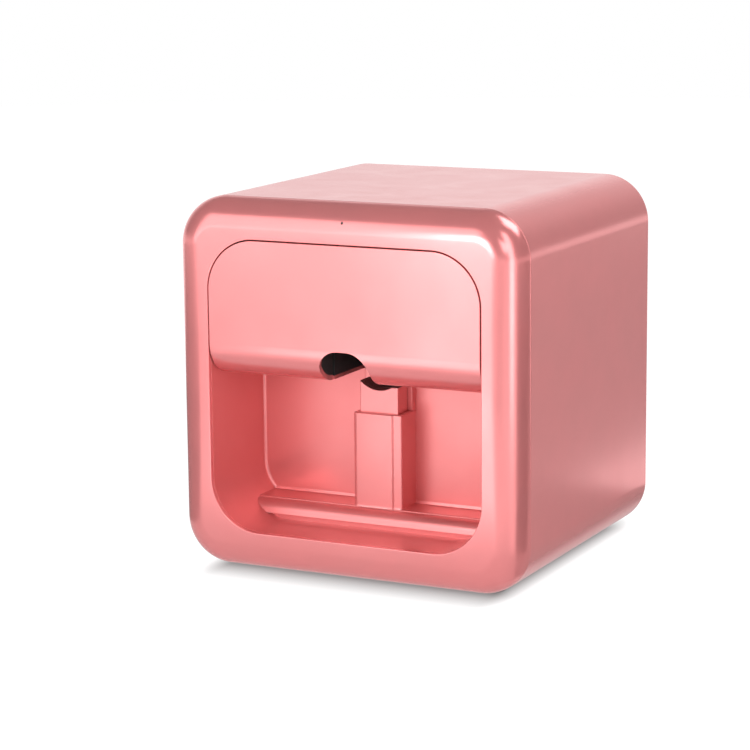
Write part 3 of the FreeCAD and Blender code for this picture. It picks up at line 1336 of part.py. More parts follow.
# ---------------------------------------------------------------------------------------------
# Electronics behind the hand bay
# ---------------------------------------------------------------------------------------------

def heat_sink():
    """A finned block: one plate with a row of fins."""
    body = doc.addObject("PartDesign::Body", "heat_sink_body")
    pad(body, "heat_sink_plate", "XY_Plane", 2, lambda s: rectangle(s, -10, 20, 14, 44), board_top)
    fin = pad(body, "heat_sink_fin", "XY_Plane", 8, lambda s: rectangle(s, -10, 20, -8.8, 44),
              board_top + 2)
    row = body.newObject("PartDesign::LinearPattern", "heat_sink_fins")
    row.Originals = [fin]
    row.Direction = (fin.Profile[0], ["H_Axis"])
    row.Length = 22.8
    row.Occurrences = 8
    body.Tip = row
    return body


sub_part("main_board", block("main_board_plate", (-66, 46), (-6, 66), (board_top - 1.6, board_top)))
sub_part("heat_sink", heat_sink())
connectors = [
    trim(f"connector_{i}",
         block(f"connector_case_{i}", (x, x + 12), (56, 63), (board_top, board_top + 7)),
         block(f"connector_room_{i}", (x + 1.2, x + 10.8), (57.2, 61.8), (board_top + 2, board_top + 8)))
    for i, x in enumerate((-58, -42, -26, -10, 6))]
capacitors = [
    turned(f"capacitor_{i}", [(0, 0), (4, 0), (4, 1), (3.7, 1.4), (4, 1.8), (4, 11.4), (3.6, 12), (0, 12)],
           (x, 8, board_top)) for i, x in enumerate((-56, -45, -34))]
sub_part("board_components", group("board_component_set", *connectors, *capacitors))


# ---------------------------------------------------------------------------------------------
# Check and write
# ---------------------------------------------------------------------------------------------

doc.recompute()
faults = [f"{o.Name} {o.State}" for o in doc.Objects if "Invalid" in o.State or "Error" in o.State]
for name, solid in nodes.items():
    shape = solid.Shape
    if shape.isNull() or not shape.isValid() or not shape.Solids:
        faults.append(f"{name} has no valid solid")
if faults:
    raise RuntimeError("; ".join(faults))

os.makedirs("parts", exist_ok=True)
for name, solid in nodes.items():
    solid.Shape.exportStep(f"parts/{name}.step")
    print(f"{name}: {len(solid.Shape.Solids)} solid(s), {solid.Shape.Volume / 1000:.2f} cm3")
print(f"{len(nodes)} nodes")
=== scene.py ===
"""Finishes and outer shapes of a desktop nail art printer, with the studio it stands in."""

import math

import bmesh
import bpy
from mathutils import Matrix, Vector


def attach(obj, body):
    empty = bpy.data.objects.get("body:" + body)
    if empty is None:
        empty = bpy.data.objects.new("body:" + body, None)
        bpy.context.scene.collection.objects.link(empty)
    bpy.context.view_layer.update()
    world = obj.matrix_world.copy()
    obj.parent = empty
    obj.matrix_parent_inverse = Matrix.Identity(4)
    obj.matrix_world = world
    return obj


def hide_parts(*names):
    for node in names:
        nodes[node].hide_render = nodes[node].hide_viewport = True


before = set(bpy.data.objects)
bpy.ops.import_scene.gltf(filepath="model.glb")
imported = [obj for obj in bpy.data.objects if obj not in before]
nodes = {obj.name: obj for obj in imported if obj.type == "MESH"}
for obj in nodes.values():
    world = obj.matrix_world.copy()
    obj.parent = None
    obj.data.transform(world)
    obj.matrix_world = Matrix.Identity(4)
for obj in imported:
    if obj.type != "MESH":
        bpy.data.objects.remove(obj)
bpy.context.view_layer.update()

# ---------------------------------------------------------------------------------------------
# Sizes in millimetres. +X is the user's right, -Y faces the user, +Z is up
# ---------------------------------------------------------------------------------------------

MM = 0.001
TINY = 0.01
SHARP_ANGLE = 35
SHELL_LIP = 0.5

SIDE, FRONT, REAR, BOTTOM, TOP = 100, -91.5, 91.5, 2, 202
CORNER, NOSE, TAIL, WALL = 26, 15.6, 2, 2.5
SEAM, SEAM_GAP = -77.2, 0.3
CASING = (SIDE, BOTTOM, TOP, CORNER)

MOUTH_HALF, MOUTH_LOW, MOUTH_HIGH, MOUTH_CORNER = 79, 23.6, 181.1, 28
MOUTH = (MOUTH_HALF, MOUTH_LOW, MOUTH_HIGH, MOUTH_CORNER)

BAY_FRONT, BAY_BACK, CEILING = -88.9, -32.4, 106.7
LINER_WALL, DOOR_ZONE_BACK = 2, -72.4
LEDGE_FRONT, LEDGE_TOP = -51, 33.8
ROLL_FRONT, ROLL_BACK, ROLL_TOP, ROLL_LOW, GROOVE_FLOOR = -58.6, -51.8, 33.3, 26.6, 31.9
ROLL_WALL, ROLL_CREST, ROLL_RADIUS = -56.6, (-57, 32.2), 3.6
SLOT_HALF, WINDOW_HALF, WINDOW_LOW = 14, 13, 92

DOOR_HALF, DOOR_BACK, DOOR_LOW, DOOR_HIGH = 78.4, -73, 106.7, 180.5
DOOR_CORNER, DOOR_CURL, DOOR_WALL, DOOR_EDGE, CHEEK_TOP = 27.4, 18.5, 2.5, 1.8, 132
NOTCH_HALF, NOTCH_TOP, NOTCH_CORNER = 14.5, 125.1, 12

POST_HALF, POST_TOP, POST_CROWN = 14.25, 85.2, 1
REST_HALF, REST_FACE, REST_BACK, REST_LOW = 11.45, -48.4, -36.9, 60
HORN_TOP, SHOULDER_TOP, SHOULDER_PLACE = 103.2, 99.6, 7.5
SCOOP_LOW, SCOOP_RADIUS = 97.6, 15.3
LIGHT_X, LIGHT_Z, LIGHT_RADIUS = 0.8, 192.3, 0.7


# ---------------------------------------------------------------------------------------------
# Shaping tools
# ---------------------------------------------------------------------------------------------

def block(shape, across, deep, high):
    """Add a box between two limits on each axis."""
    limits = (across, deep, high)
    middle = Vector([(low + far) / 2 for low, far in limits])
    spread = Matrix.Diagonal([far - low for low, far in limits] + [1])
    bmesh.ops.create_cube(shape, size=1, matrix=Matrix.Translation(middle) @ spread)


def edges_where(shape, test):
    """The edges whose two ends both pass a test."""
    return [edge for edge in shape.edges if all(test(vert.co) for vert in edge.verts)]


def soften(shape, edges, radius, steps):
    """Round a run of edges."""
    bmesh.ops.bevel(shape, geom=edges, offset=radius, offset_type="OFFSET", segments=steps,
                    profile=0.5, affect="EDGES", clamp_overlap=True, material=-1)


def near(value, place):
    return abs(value - place) < TINY


def lengthwise(edges):
    """The edges that run from front to back."""
    return [edge for edge in edges if not near(edge.verts[0].co.y, edge.verts[1].co.y)]


def faces_at(shape, axis, place):
    """The faces whose middle lies at one place along an axis."""
    return [face for face in shape.faces if near(getattr(face.calc_center_median(), axis), place)]


def drag(shape, parts, move):
    """Move the corners among some parts."""
    corners = [part for part in parts if isinstance(part, bmesh.types.BMVert)]
    bmesh.ops.translate(shape, vec=move, verts=corners)


def outside_by(co, outline):
    """How far a point lies outside a rounded rectangle in the front view, negative within it."""
    half, low, high, radius = outline
    across = abs(co.x) - (half - radius)
    rise = abs(co.z - (low + high) / 2) - ((high - low) / 2 - radius)
    return math.hypot(max(across, 0), max(rise, 0)) + min(max(across, rise), 0) - radius


def on_outline(co, outline):
    return abs(outside_by(co, outline)) < 5 * TINY


def arc_planes(middle, radius, start, end, count):
    """Planes along an arc in the front view, each with the normal that leads away from its middle."""
    planes = []
    step = (end - start) / count
    reach = radius * math.cos(math.radians(abs(step) / 2))
    for index in range(count):
        turn = math.radians(start + step * (index + 0.5))
        out = Vector((math.cos(turn), 0, math.sin(turn)))
        planes.append((Vector((middle[0], 0, middle[1])) + out * reach, out))
    return planes


def side_planes(half, middle=0):
    """The planes at the left and right of a gap, each with the normal that leads out of it."""
    return [((middle + sign * half, 0, 0), Vector((sign, 0, 0))) for sign in (-1, 1)]


def crop(shape, point, normal, close=False):
    """Take off all that lies beyond a plane, and close the cut when asked."""
    geom = shape.verts[:] + shape.edges[:] + shape.faces[:]
    done = bmesh.ops.bisect_plane(shape, geom=geom, dist=TINY / 10, plane_co=point, plane_no=normal,
                                  clear_outer=True)
    rim = [part for part in done["geom_cut"] if isinstance(part, bmesh.types.BMEdge)]
    if close and rim:
        bmesh.ops.edgeloop_fill(shape, edges=rim)


def split(shape, faces, point, normal):
    """Cut some faces along a plane and give back all their parts."""
    geom = set(faces)
    for face in faces:
        geom.update([*face.edges, *face.verts])
    done = bmesh.ops.bisect_plane(shape, geom=list(geom), dist=TINY / 10, plane_co=point, plane_no=normal)
    return [part for part in done["geom"] if isinstance(part, bmesh.types.BMFace)]


def within(shape, faces, planes):
    """Cut faces along planes and give back the parts inside them. Each plane's normal leads outwards."""
    inside = list(faces)
    for point, normal in planes:
        inside = [face for face in split(shape, inside, point, normal)
                  if (face.calc_center_median() - Vector(point)).dot(Vector(normal)) < 0]
    return inside


def carve(shape, planes, faces=None):
    """Cut a region bounded by planes out of a skin."""
    bmesh.ops.delete(shape, geom=within(shape, faces or shape.faces, planes), context="FACES")


def drop_faces(shape, test, context="FACES"):
    bmesh.ops.delete(shape, geom=[face for face in shape.faces if test(face)], context=context)


def rounded_loop(shape, outline, depth, steps):
    """Add the closed edge loop of a rounded rectangle that faces the front."""
    half, low, high, radius = outline
    old = set(shape.faces)
    block(shape, (-half, half), (depth, depth + 10), (low, high))
    soften(shape, [edge for edge in lengthwise(shape.edges)
                   if all(face not in old for face in edge.link_faces)], radius, steps)
    drop_faces(shape, lambda face: face not in old and not near(face.calc_center_median().y, depth))
    cap = [face for face in shape.faces if face not in old]
    loop = list(cap[0].edges)
    bmesh.ops.delete(shape, geom=cap, context="FACES_ONLY")
    return loop


def made_object(name, shape):
    """Turn a shape into an object in the scene."""
    mesh = bpy.data.meshes.new(name)
    shape.to_mesh(mesh)
    shape.free()
    made = bpy.data.objects.new(name, mesh)
    bpy.context.scene.collection.objects.link(made)
    return made


def piece(name, shape, body, stands_for, material):
    """Finish a shape as an object: merged, turned outwards, smoothly shaded, and riding on its body."""
    bmesh.ops.remove_doubles(shape, verts=shape.verts, dist=TINY / 5)
    bmesh.ops.recalc_face_normals(shape, faces=shape.faces)
    bmesh.ops.scale(shape, vec=(MM, MM, MM), verts=shape.verts)
    made = made_object(name, shape)
    made.data.shade_smooth()
    made.data.set_sharp_from_angle(angle=math.radians(SHARP_ANGLE))
    even = made.modifiers.new("even_shading", "WEIGHTED_NORMAL")
    even.keep_sharp = True
    even.weight = 60
    made.data.materials.append(material)
    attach(made, body)
    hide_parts(*stands_for)


# ---------------------------------------------------------------------------------------------
# Effects that several finishes share
# ---------------------------------------------------------------------------------------------

def place(tree, kind, options=None, **feeds):
    """Add a shader node. Feeds are set on its inputs, or linked where they are sockets."""
    made = tree.nodes.new("ShaderNode" + kind)
    for name, value in (options or {}).items():
        setattr(made, name, value)
    for name, value in feeds.items():
        wanted = name.replace("_", " ")
        socket = made.inputs[int(name[1:])] if name[1:].isdigit() else made.inputs[wanted]
        if isinstance(value, bpy.types.NodeSocket):
            tree.links.new(value, socket)
        else:
            socket.default_value = value
    return made


def math_node(tree, operation, *values, kind="Math", result=0):
    feeds = {f"i{index}": value for index, value in enumerate(values)}
    return place(tree, kind, {"operation": operation}, **feeds).outputs[result]


def vector_math(tree, operation, *values, result="Vector"):
    return math_node(tree, operation, *values, kind="VectorMath", result=result)


def times(tree, *values):
    """The product of two or more values."""
    product = values[0]
    for value in values[1:]:
        product = math_node(tree, "MULTIPLY", product, value)
    return product


def noise(tree, where, scale, detail, **more):
    return place(tree, "TexNoise", Vector=where, Scale=scale, Detail=detail, **more).outputs["Fac"]


def ranged(tree, value, low, high, to_low=0.0, to_high=1.0):
    """Spread a value between two limits, and clamp it."""
    return place(tree, "MapRange", Value=value, From_Min=low, From_Max=high,
                 To_Min=to_low, To_Max=to_high).outputs["Result"]


def blend_colour(tree, factor, first, second):
    return place(tree, "Mix", {"data_type": "RGBA"}, i0=factor, i6=first, i7=second).outputs[2]


def shade(colour, gain=1.0, lift=0.0):
    """A colour made darker or lighter, with its fourth channel."""
    return tuple(min(1.0, channel * gain + lift) for channel in colour) + (1,)


def effect(name, inputs, outputs):
    """A new shader group with named inputs and outputs."""
    tree = bpy.data.node_groups.new(name, "ShaderNodeTree")
    for label, value in inputs:
        socket = tree.interface.new_socket(name=label, in_out="INPUT", socket_type="NodeSocketFloat")
        socket.default_value = value
    for label in outputs:
        tree.interface.new_socket(name=label, in_out="OUTPUT", socket_type="NodeSocketFloat")
    given = tree.nodes.new("NodeGroupInput").outputs
    result = tree.nodes.new("NodeGroupOutput").inputs
    where = place(tree, "TexCoord").outputs["Object"]
    return tree, given, result, where


def paint_flake():
    """Fine metal flakes under a slightly waved lacquer."""
    tree, given, result, where = effect("paint flake", [("Flake Size", 0.0005), ("Ripple", 0.3)],
                                        ["Flake", "Cloud", "Height"])
    flakes = place(tree, "TexVoronoi", Vector=where,
                   Scale=math_node(tree, "DIVIDE", 1.0, given["Flake Size"]))
    spark = place(tree, "SeparateColor", Color=flakes.outputs["Color"]).outputs["Red"]
    cloud = noise(tree, where, 42.0, 3.0)
    ripple = noise(tree, where, 420.0, 1.0)
    grain = noise(tree, where, 2300.0, 2.0)
    height = math_node(tree, "MULTIPLY_ADD", ripple, given["Ripple"],
                       math_node(tree, "MULTIPLY_ADD", spark, 0.03, times(tree, grain, 0.04)))
    tree.links.new(spark, result["Flake"])
    tree.links.new(cloud, result["Cloud"])
    tree.links.new(height, result["Height"])
    return tree


def edge_wear_and_highlight():
    """A broken mask along the outer edges, used for wear and, at full strength, for a painted highlight along
    rims.
    """
    tree, given, result, where = effect("edge wear", [("Width", 0.0006), ("Amount", 0.5)], ["Mask"])
    flat = place(tree, "NewGeometry").outputs["Normal"]
    turned = place(tree, "Bevel", {"samples": 4}, Radius=given["Width"]).outputs["Normal"]
    agree = vector_math(tree, "DOT_PRODUCT", flat, turned, result="Value")
    bend = ranged(tree, agree, 0.995, 0.86)
    broken = noise(tree, where, 260.0, 4.0)
    rough = ranged(tree, broken, 0.38, 0.66)
    tree.links.new(times(tree, bend, rough, given["Amount"]), result["Mask"])
    return tree


def settled_dust():
    """Thin dust on what faces up."""
    tree, given, result, where = effect("settled dust", [("Amount", 0.1)], ["Mask"])
    facing = place(tree, "SeparateXYZ", Vector=place(tree, "NewGeometry").outputs["Normal"]).outputs["Z"]
    upward = ranged(tree, facing, 0.35, 1.0)
    specks = noise(tree, where, 900.0, 5.0)
    drift = noise(tree, where, 30.0, 3.0)
    film = times(tree, ranged(tree, specks, 0.42, 0.74), ranged(tree, drift, 0.3, 0.7))
    tree.links.new(times(tree, upward, film, given["Amount"]), result["Mask"])
    return tree


def handling():
    """Broad faint smears where hands have been."""
    tree, given, result, where = effect("handling", [("Size", 0.02)], ["Smear"])
    smear = noise(tree, where, math_node(tree, "DIVIDE", 1.0, given["Size"]), 4.0, Distortion=0.6)
    tree.links.new(ranged(tree, smear, 0.3, 0.7), result["Smear"])
    return tree


def mould_grain():
    """The spark-eroded grain of a mould, as tiny pits with a soft mottle."""
    tree, given, result, where = effect("mould grain", [("Grain Size", 0.0006)], ["Height", "Mottle"])
    scale = math_node(tree, "DIVIDE", 1.0, given["Grain Size"])
    pits = place(tree, "TexVoronoi", {"feature": "SMOOTH_F1"}, Vector=where, Scale=scale).outputs["Distance"]
    fine = noise(tree, where, scale, 4.0)
    mottle = noise(tree, where, 70.0, 3.0)
    tree.links.new(math_node(tree, "MULTIPLY_ADD", pits, 0.6, times(tree, fine, 0.5)), result["Height"])
    tree.links.new(mottle, result["Mottle"])
    return tree


def drawn_lines():
    """Fine lines that a tool or a die leaves, along one axis."""
    tree, given, result, where = effect(
        "drawn lines", [("Along X", 20.0), ("Along Y", 1500.0), ("Along Z", 1500.0)], ["Line", "Stain"])
    stretch = place(tree, "CombineXYZ", X=given["Along X"], Y=given["Along Y"], Z=given["Along Z"])
    lines = noise(tree, vector_math(tree, "MULTIPLY", where, stretch.outputs[0]), 1.0, 3.0)
    stain = noise(tree, where, 60.0, 5.0)
    tree.links.new(lines, result["Line"])
    tree.links.new(stain, result["Stain"])
    return tree


def zinc_spangle():
    """The frosty crystals of zinc plating."""
    tree, given, result, where = effect("zinc spangle", [("Crystal Size", 0.006)], ["Crystal", "Frost"])
    crystals = place(tree, "TexVoronoi", Vector=where,
                     Scale=math_node(tree, "DIVIDE", 1.0, given["Crystal Size"])).outputs["Color"]
    frost = noise(tree, where, 700.0, 5.0)
    tree.links.new(place(tree, "SeparateColor", Color=crystals).outputs["Green"], result["Crystal"])
    tree.links.new(frost, result["Frost"])
    return tree


FLAKE, WEAR_AND_EDGE_HIGHLIGHT, DUST = paint_flake(), edge_wear_and_highlight(), settled_dust()
SMEAR, GRAIN, LINES, ZINC = handling(), mould_grain(), drawn_lines(), zinc_spangle()


def use(tree, group, **values):
    """Place an effect in a material with its own values, and give back its outputs."""
    made = place(tree, "Group", {"node_tree": group})
    for name, value in values.items():
        made.inputs[name.replace("_", " ")].default_value = value
    return made.outputs


# ---------------------------------------------------------------------------------------------
# Finishes
# ---------------------------------------------------------------------------------------------

HOUSE_DUST = (0.5, 0.48, 0.46, 1)


def finish_start(name):
    material = bpy.data.materials.new(name)
    material.use_nodes = True
    tree = material.node_tree
    return material, tree, tree.nodes["Principled BSDF"]


def set_inputs(tree, shader, **values):
    for name, value in values.items():
        socket = shader.inputs[name.replace("_", " ")]
        if isinstance(value, bpy.types.NodeSocket):
            tree.links.new(value, socket)
        else:
            socket.default_value = value


def bumped(tree, height, strength, distance):
    return place(tree, "Bump", Height=height, Strength=strength, Distance=distance).outputs["Normal"]


def satin_paint(name, flakes=0.6, pale=(0.97, 0.43, 0.425), binder=(0.7, 0.045, 0.055), roughness=0.26,
                coat=0.25, ripple=0.3, wear_and_edge_highlight=0.2, dust=0.03, relief=0.03):
    """Pale metal flakes in a deep coral binder, under a satin lacquer."""
    material, tree, shader = finish_start(name)
    flake = use(tree, FLAKE, Flake_Size=0.0003, Ripple=ripple)
    worn_and_lit_edges = use(tree, WEAR_AND_EDGE_HIGHLIGHT, Width=0.0005, Amount=wear_and_edge_highlight)["Mask"]
    dusty = use(tree, DUST, Amount=dust)["Mask"]
    smear = use(tree, SMEAR, Size=0.03)["Smear"]
    shown = ranged(tree, flake["Cloud"], 0.3, 0.7, flakes - 0.02, flakes + 0.02)
    paint = blend_colour(tree, shown, shade(binder), shade(pale))
    # Lighter paint along the edges: wear at low amounts, and a painted highlight at full amount.
    paint = blend_colour(tree, worn_and_lit_edges, paint, shade(pale, 0.6, 0.4))
    paint = blend_colour(tree, dusty, paint, (0.8, 0.76, 0.74, 1))
    rough = math_node(tree, "MULTIPLY_ADD", smear, 0.05, roughness - 0.05)
    rough = math_node(tree, "MULTIPLY_ADD", flake["Flake"], 0.004, rough)
    set_inputs(tree, shader, Base_Color=paint, Roughness=rough, Metallic=shown, Specular_IOR_Level=0.25,
               Coat_Weight=coat, Coat_Roughness=0.2,
               Normal=bumped(tree, flake["Height"], relief, 0.0001))
    return material


def moulded_plastic(name, colour, roughness=0.5, grain=0.0006, relief=0.3, wear_and_edge_highlight=0.35, dust=0.08):
    """Plastic straight from a grained mould, rubbed lighter along its edges."""
    material, tree, shader = finish_start(name)
    pits = use(tree, GRAIN, Grain_Size=grain)
    worn_and_lit_edges = use(tree, WEAR_AND_EDGE_HIGHLIGHT, Width=0.0007, Amount=wear_and_edge_highlight)["Mask"]
    dusty = use(tree, DUST, Amount=dust)["Mask"]
    smear = use(tree, SMEAR, Size=0.015)["Smear"]
    base = blend_colour(tree, ranged(tree, pits["Mottle"], 0.3, 0.7),
                        shade(colour, 0.8), shade(colour, 1.2, 0.004))
    base = blend_colour(tree, worn_and_lit_edges, base, shade(colour, 0.5, 0.25))
    base = blend_colour(tree, dusty, base, HOUSE_DUST)
    set_inputs(tree, shader, Base_Color=base,
               Roughness=math_node(tree, "MULTIPLY_ADD", smear, 0.12, roughness - 0.06),
               Normal=bumped(tree, pits["Height"], relief, 0.00012))
    return material


def worked_metal(name, colour, roughness=0.3, along=(20, 1500, 1500), stain=0.2, relief=0.1, wear_and_edge_highlight=0.2):
    """Ground, drawn or turned metal, with the lines of its tool."""
    material, tree, shader = finish_start(name)
    lines = use(tree, LINES, Along_X=along[0], Along_Y=along[1], Along_Z=along[2])
    worn_and_lit_edges = use(tree, WEAR_AND_EDGE_HIGHLIGHT, Width=0.0004, Amount=wear_and_edge_highlight)["Mask"]
    dusty = use(tree, DUST, Amount=0.05)["Mask"]
    dark = shade(colour, 0.72)
    base = blend_colour(tree, ranged(tree, lines["Line"], 0.3, 0.7, 0, 0.5), shade(colour), dark)
    base = blend_colour(tree, ranged(tree, lines["Stain"], 0.45, 0.75, 0, stain), base, dark)
    base = blend_colour(tree, worn_and_lit_edges, base, (0.9, 0.9, 0.9, 1))
    base = blend_colour(tree, dusty, base, HOUSE_DUST)
    set_inputs(tree, shader, Base_Color=base, Metallic=1.0,
               Roughness=math_node(tree, "MULTIPLY_ADD", lines["Stain"], 0.16,
                                   math_node(tree, "MULTIPLY_ADD", lines["Line"], 0.1, roughness - 0.1)),
               Normal=bumped(tree, lines["Line"], relief, 0.00005))
    return material


def plated_sheet(name, colour, crystal=0.006, roughness=0.4):
    """Bent steel sheet under zinc, with its faint crystals."""
    material, tree, shader = finish_start(name)
    zinc = use(tree, ZINC, Crystal_Size=crystal)
    worn_and_lit_edges = use(tree, WEAR_AND_EDGE_HIGHLIGHT, Width=0.0005, Amount=0.4)["Mask"]
    dusty = use(tree, DUST, Amount=0.12)["Mask"]
    base = blend_colour(tree, zinc["Crystal"], shade(colour, 0.78), shade(colour, 1.15))
    base = blend_colour(tree, worn_and_lit_edges, base, (0.86, 0.86, 0.87, 1))
    base = blend_colour(tree, dusty, base, HOUSE_DUST)
    set_inputs(tree, shader, Base_Color=base, Metallic=1.0,
               Roughness=math_node(tree, "MULTIPLY_ADD", zinc["Frost"], 0.2,
                                   math_node(tree, "MULTIPLY_ADD", zinc["Crystal"], 0.1, roughness - 0.15)),
               Normal=bumped(tree, zinc["Frost"], 0.12, 0.00008))
    return material


def soft_rubber(name, colour, roughness=0.72):
    """Matt rubber with a bloom, paler where it is rubbed."""
    material, tree, shader = finish_start(name)
    pits = use(tree, GRAIN, Grain_Size=0.0009)
    worn_and_lit_edges = use(tree, WEAR_AND_EDGE_HIGHLIGHT, Width=0.0009, Amount=0.5)["Mask"]
    dusty = use(tree, DUST, Amount=0.25)["Mask"]
    base = blend_colour(tree, ranged(tree, pits["Mottle"], 0.3, 0.7), shade(colour), shade(colour, 1.7, 0.01))
    base = blend_colour(tree, worn_and_lit_edges, base, (0.17, 0.165, 0.16, 1))
    base = blend_colour(tree, dusty, base, (0.4, 0.38, 0.36, 1))
    set_inputs(tree, shader, Base_Color=base, Sheen_Weight=0.15, Sheen_Roughness=0.4,
               Roughness=ranged(tree, pits["Mottle"], 0.2, 0.8, roughness - 0.08, roughness + 0.08),
               Normal=bumped(tree, pits["Height"], 0.35, 0.0002))
    return material


def circuit_board(name, mask_colour):
    """Solder mask over copper tracks, with tinned pads."""
    material, tree, shader = finish_start(name)
    where = place(tree, "TexCoord").outputs["Object"]
    tracks = place(tree, "TexBrick", {"offset": 0.5, "squash": 1.0}, Vector=where, Scale=60.0,
                   Mortar_Size=0.012, Brick_Width=0.9, Row_Height=0.22)
    pads = place(tree, "TexVoronoi", Vector=where, Scale=210.0).outputs["Distance"]
    pad = ranged(tree, pads, 0.16, 0.13)
    track = tracks.outputs["Fac"]
    pits = use(tree, GRAIN, Grain_Size=0.0012)
    dusty = use(tree, DUST, Amount=0.2)["Mask"]
    base = blend_colour(tree, track, shade(mask_colour), shade(mask_colour, 1.9, 0.01))
    base = blend_colour(tree, pad, base, (0.62, 0.6, 0.55, 1))
    base = blend_colour(tree, dusty, base, HOUSE_DUST)
    set_inputs(tree, shader, Base_Color=base, Metallic=times(tree, pad, 0.8),
               Roughness=ranged(tree, pits["Mottle"], 0.3, 0.7, 0.28, 0.42), Coat_Weight=0.2,
               Normal=bumped(tree, math_node(tree, "ADD", track, pad), 0.4, 0.0001))
    return material


def clear_light(name, colour, glow):
    """A clear resin drop over a pale chip, with the faintest glow."""
    material, tree, shader = finish_start(name)
    pits = use(tree, GRAIN, Grain_Size=0.0015)
    base = blend_colour(tree, ranged(tree, pits["Mottle"], 0.3, 0.7), shade(colour), shade(colour, 0.8))
    set_inputs(tree, shader, Base_Color=base, Coat_Weight=0.8, Coat_Roughness=0.05,
               Roughness=ranged(tree, pits["Mottle"], 0.3, 0.7, 0.12, 0.25),
               Emission_Color=base, Emission_Strength=glow, Normal=bumped(tree, pits["Height"], 0.05, 0.0001))
    return material


def coated_glass(name, colour):
    """A dark lens with a tinted coating and a little dust."""
    material, tree, shader = finish_start(name)
    dusty = use(tree, DUST, Amount=0.3)["Mask"]
    smear = use(tree, SMEAR, Size=0.004)["Smear"]
    rim = place(tree, "LayerWeight", Blend=0.35).outputs["Facing"]
    base = blend_colour(tree, rim, shade(colour), (0.25, 0.1, 0.4, 1))
    base = blend_colour(tree, dusty, base, (0.5, 0.5, 0.5, 1))
    set_inputs(tree, shader, Base_Color=base, Roughness=ranged(tree, smear, 0, 1, 0.03, 0.09),
               Coat_Weight=1.0, Coat_Roughness=0.02, IOR=1.6)
    return material


casing_paint = satin_paint("satin_pink_casing_paint")
cover_paint = satin_paint("satin_pink_cover_paint")
# A darker, redder copy of the casing paint: painted shade for the deep hand bay.
bay_paint_shaded_copy = satin_paint("satin_pink_bay_paint_shaded_copy", pale=(0.92, 0.38, 0.375), binder=(0.6, 0.03, 0.035),
                        roughness=0.36, dust=0.01, relief=0.008)
# A darker, redder copy of the casing paint as painted shade, with the edge mask at full strength as a painted
# highlight along the rims of the post, slide and guide.
rest_paint_shade_and_rim_highlight = satin_paint("satin_pink_rest_paint_shade_and_rim_highlight", pale=(0.94, 0.4, 0.395), binder=(0.6, 0.03, 0.035),
                         roughness=0.34, wear_and_edge_highlight=1.0, dust=0.01, relief=0.008)
rear_paint = satin_paint("satin_pink_panel_paint", flakes=0.5, roughness=0.36, coat=0.3)
button_paint = satin_paint("satin_pink_button_finish", flakes=0.5, roughness=0.3)

filled_black = moulded_plastic("black_glass_filled_nylon", (0.04, 0.04, 0.044), roughness=0.48)
dull_black = moulded_plastic("dull_black_light_trap", (0.014, 0.014, 0.015), roughness=0.75, relief=0.5,
                             wear_and_edge_highlight=0.12, dust=0.05)
case_black = moulded_plastic("black_moulded_case", (0.024, 0.024, 0.026), roughness=0.4, grain=0.0004)
carriage_black = moulded_plastic("carriage_grey_nylon", (0.06, 0.06, 0.065), roughness=0.5)
cap_grey = moulded_plastic("cap_station_grey", (0.09, 0.09, 0.095), roughness=0.55)
latch_blue = moulded_plastic("latch_blue_grey", (0.3, 0.4, 0.56), roughness=0.42, wear_and_edge_highlight=0.2)
parts_black = moulded_plastic("component_black_epoxy", (0.05, 0.05, 0.055), roughness=0.5, grain=0.0003)

ground_steel = worked_metal("ground_steel_rod_y", (0.62, 0.62, 0.64), 0.22, (1800, 25, 1800))
ground_cross = worked_metal("ground_steel_rod_x", (0.62, 0.62, 0.64), 0.22, (25, 1800, 1800))
spring_wire = worked_metal("drawn_spring_wire", (0.55, 0.55, 0.57), 0.3, (900, 900, 200))
turned_steel = worked_metal("turned_steel", (0.58, 0.58, 0.6), 0.28, (300, 2200, 300))
screw_zinc = worked_metal("zinc_plated_screw", (0.66, 0.66, 0.68), 0.3, (600, 600, 600), stain=0.35)
motor_can = worked_metal("drawn_motor_can", (0.42, 0.42, 0.44), 0.38, (1200, 60, 1200))
rolled_thread = worked_metal("rolled_thread_steel", (0.56, 0.56, 0.58), 0.26, (700, 2600, 700))
sintered = worked_metal("sintered_bronze", (0.62, 0.4, 0.18), 0.5, (1500, 1500, 1500), stain=0.5, relief=0.4)
turned_brass = worked_metal("turned_brass", (0.72, 0.5, 0.2), 0.3, (300, 2400, 300))
turned_aluminium = worked_metal("turned_aluminium", (0.7, 0.7, 0.72), 0.34, (300, 2200, 300))
anodised = worked_metal("dark_anodised_aluminium", (0.16, 0.16, 0.17), 0.5, (40, 900, 900), stain=0.1)
nickel = worked_metal("nickel_plated_magnet", (0.7, 0.68, 0.64), 0.16, (500, 500, 500), relief=0.03)
plated_shell = worked_metal("tinned_port_shell", (0.62, 0.62, 0.63), 0.27, (1200, 60, 1200))
zinc_sheet = plated_sheet("zinc_plated_sheet", (0.5, 0.51, 0.53))
strike_sheet = plated_sheet("plain_steel_strike", (0.5, 0.5, 0.52), crystal=0.003, roughness=0.45)

foot_rubber = soft_rubber("foot_rubber", (0.045, 0.045, 0.045))
belt_rubber = soft_rubber("belt_rubber", (0.02, 0.02, 0.02), 0.6)
seal_rubber = soft_rubber("cap_seal_rubber", (0.03, 0.03, 0.03), 0.55)
main_mask = circuit_board("main_board_solder_mask", (0.012, 0.11, 0.045))
light_mask = circuit_board("light_board_solder_mask", (0.012, 0.09, 0.045))
light_guide = moulded_plastic("smoked_light_guide", (0.02, 0.015, 0.015), roughness=0.2, relief=0.03, wear_and_edge_highlight=0)
emitter_resin = clear_light("emitter_resin", (0.92, 0.9, 0.72), 0.15)
lens_glass = coated_glass("coated_lens_glass", (0.02, 0.02, 0.03))

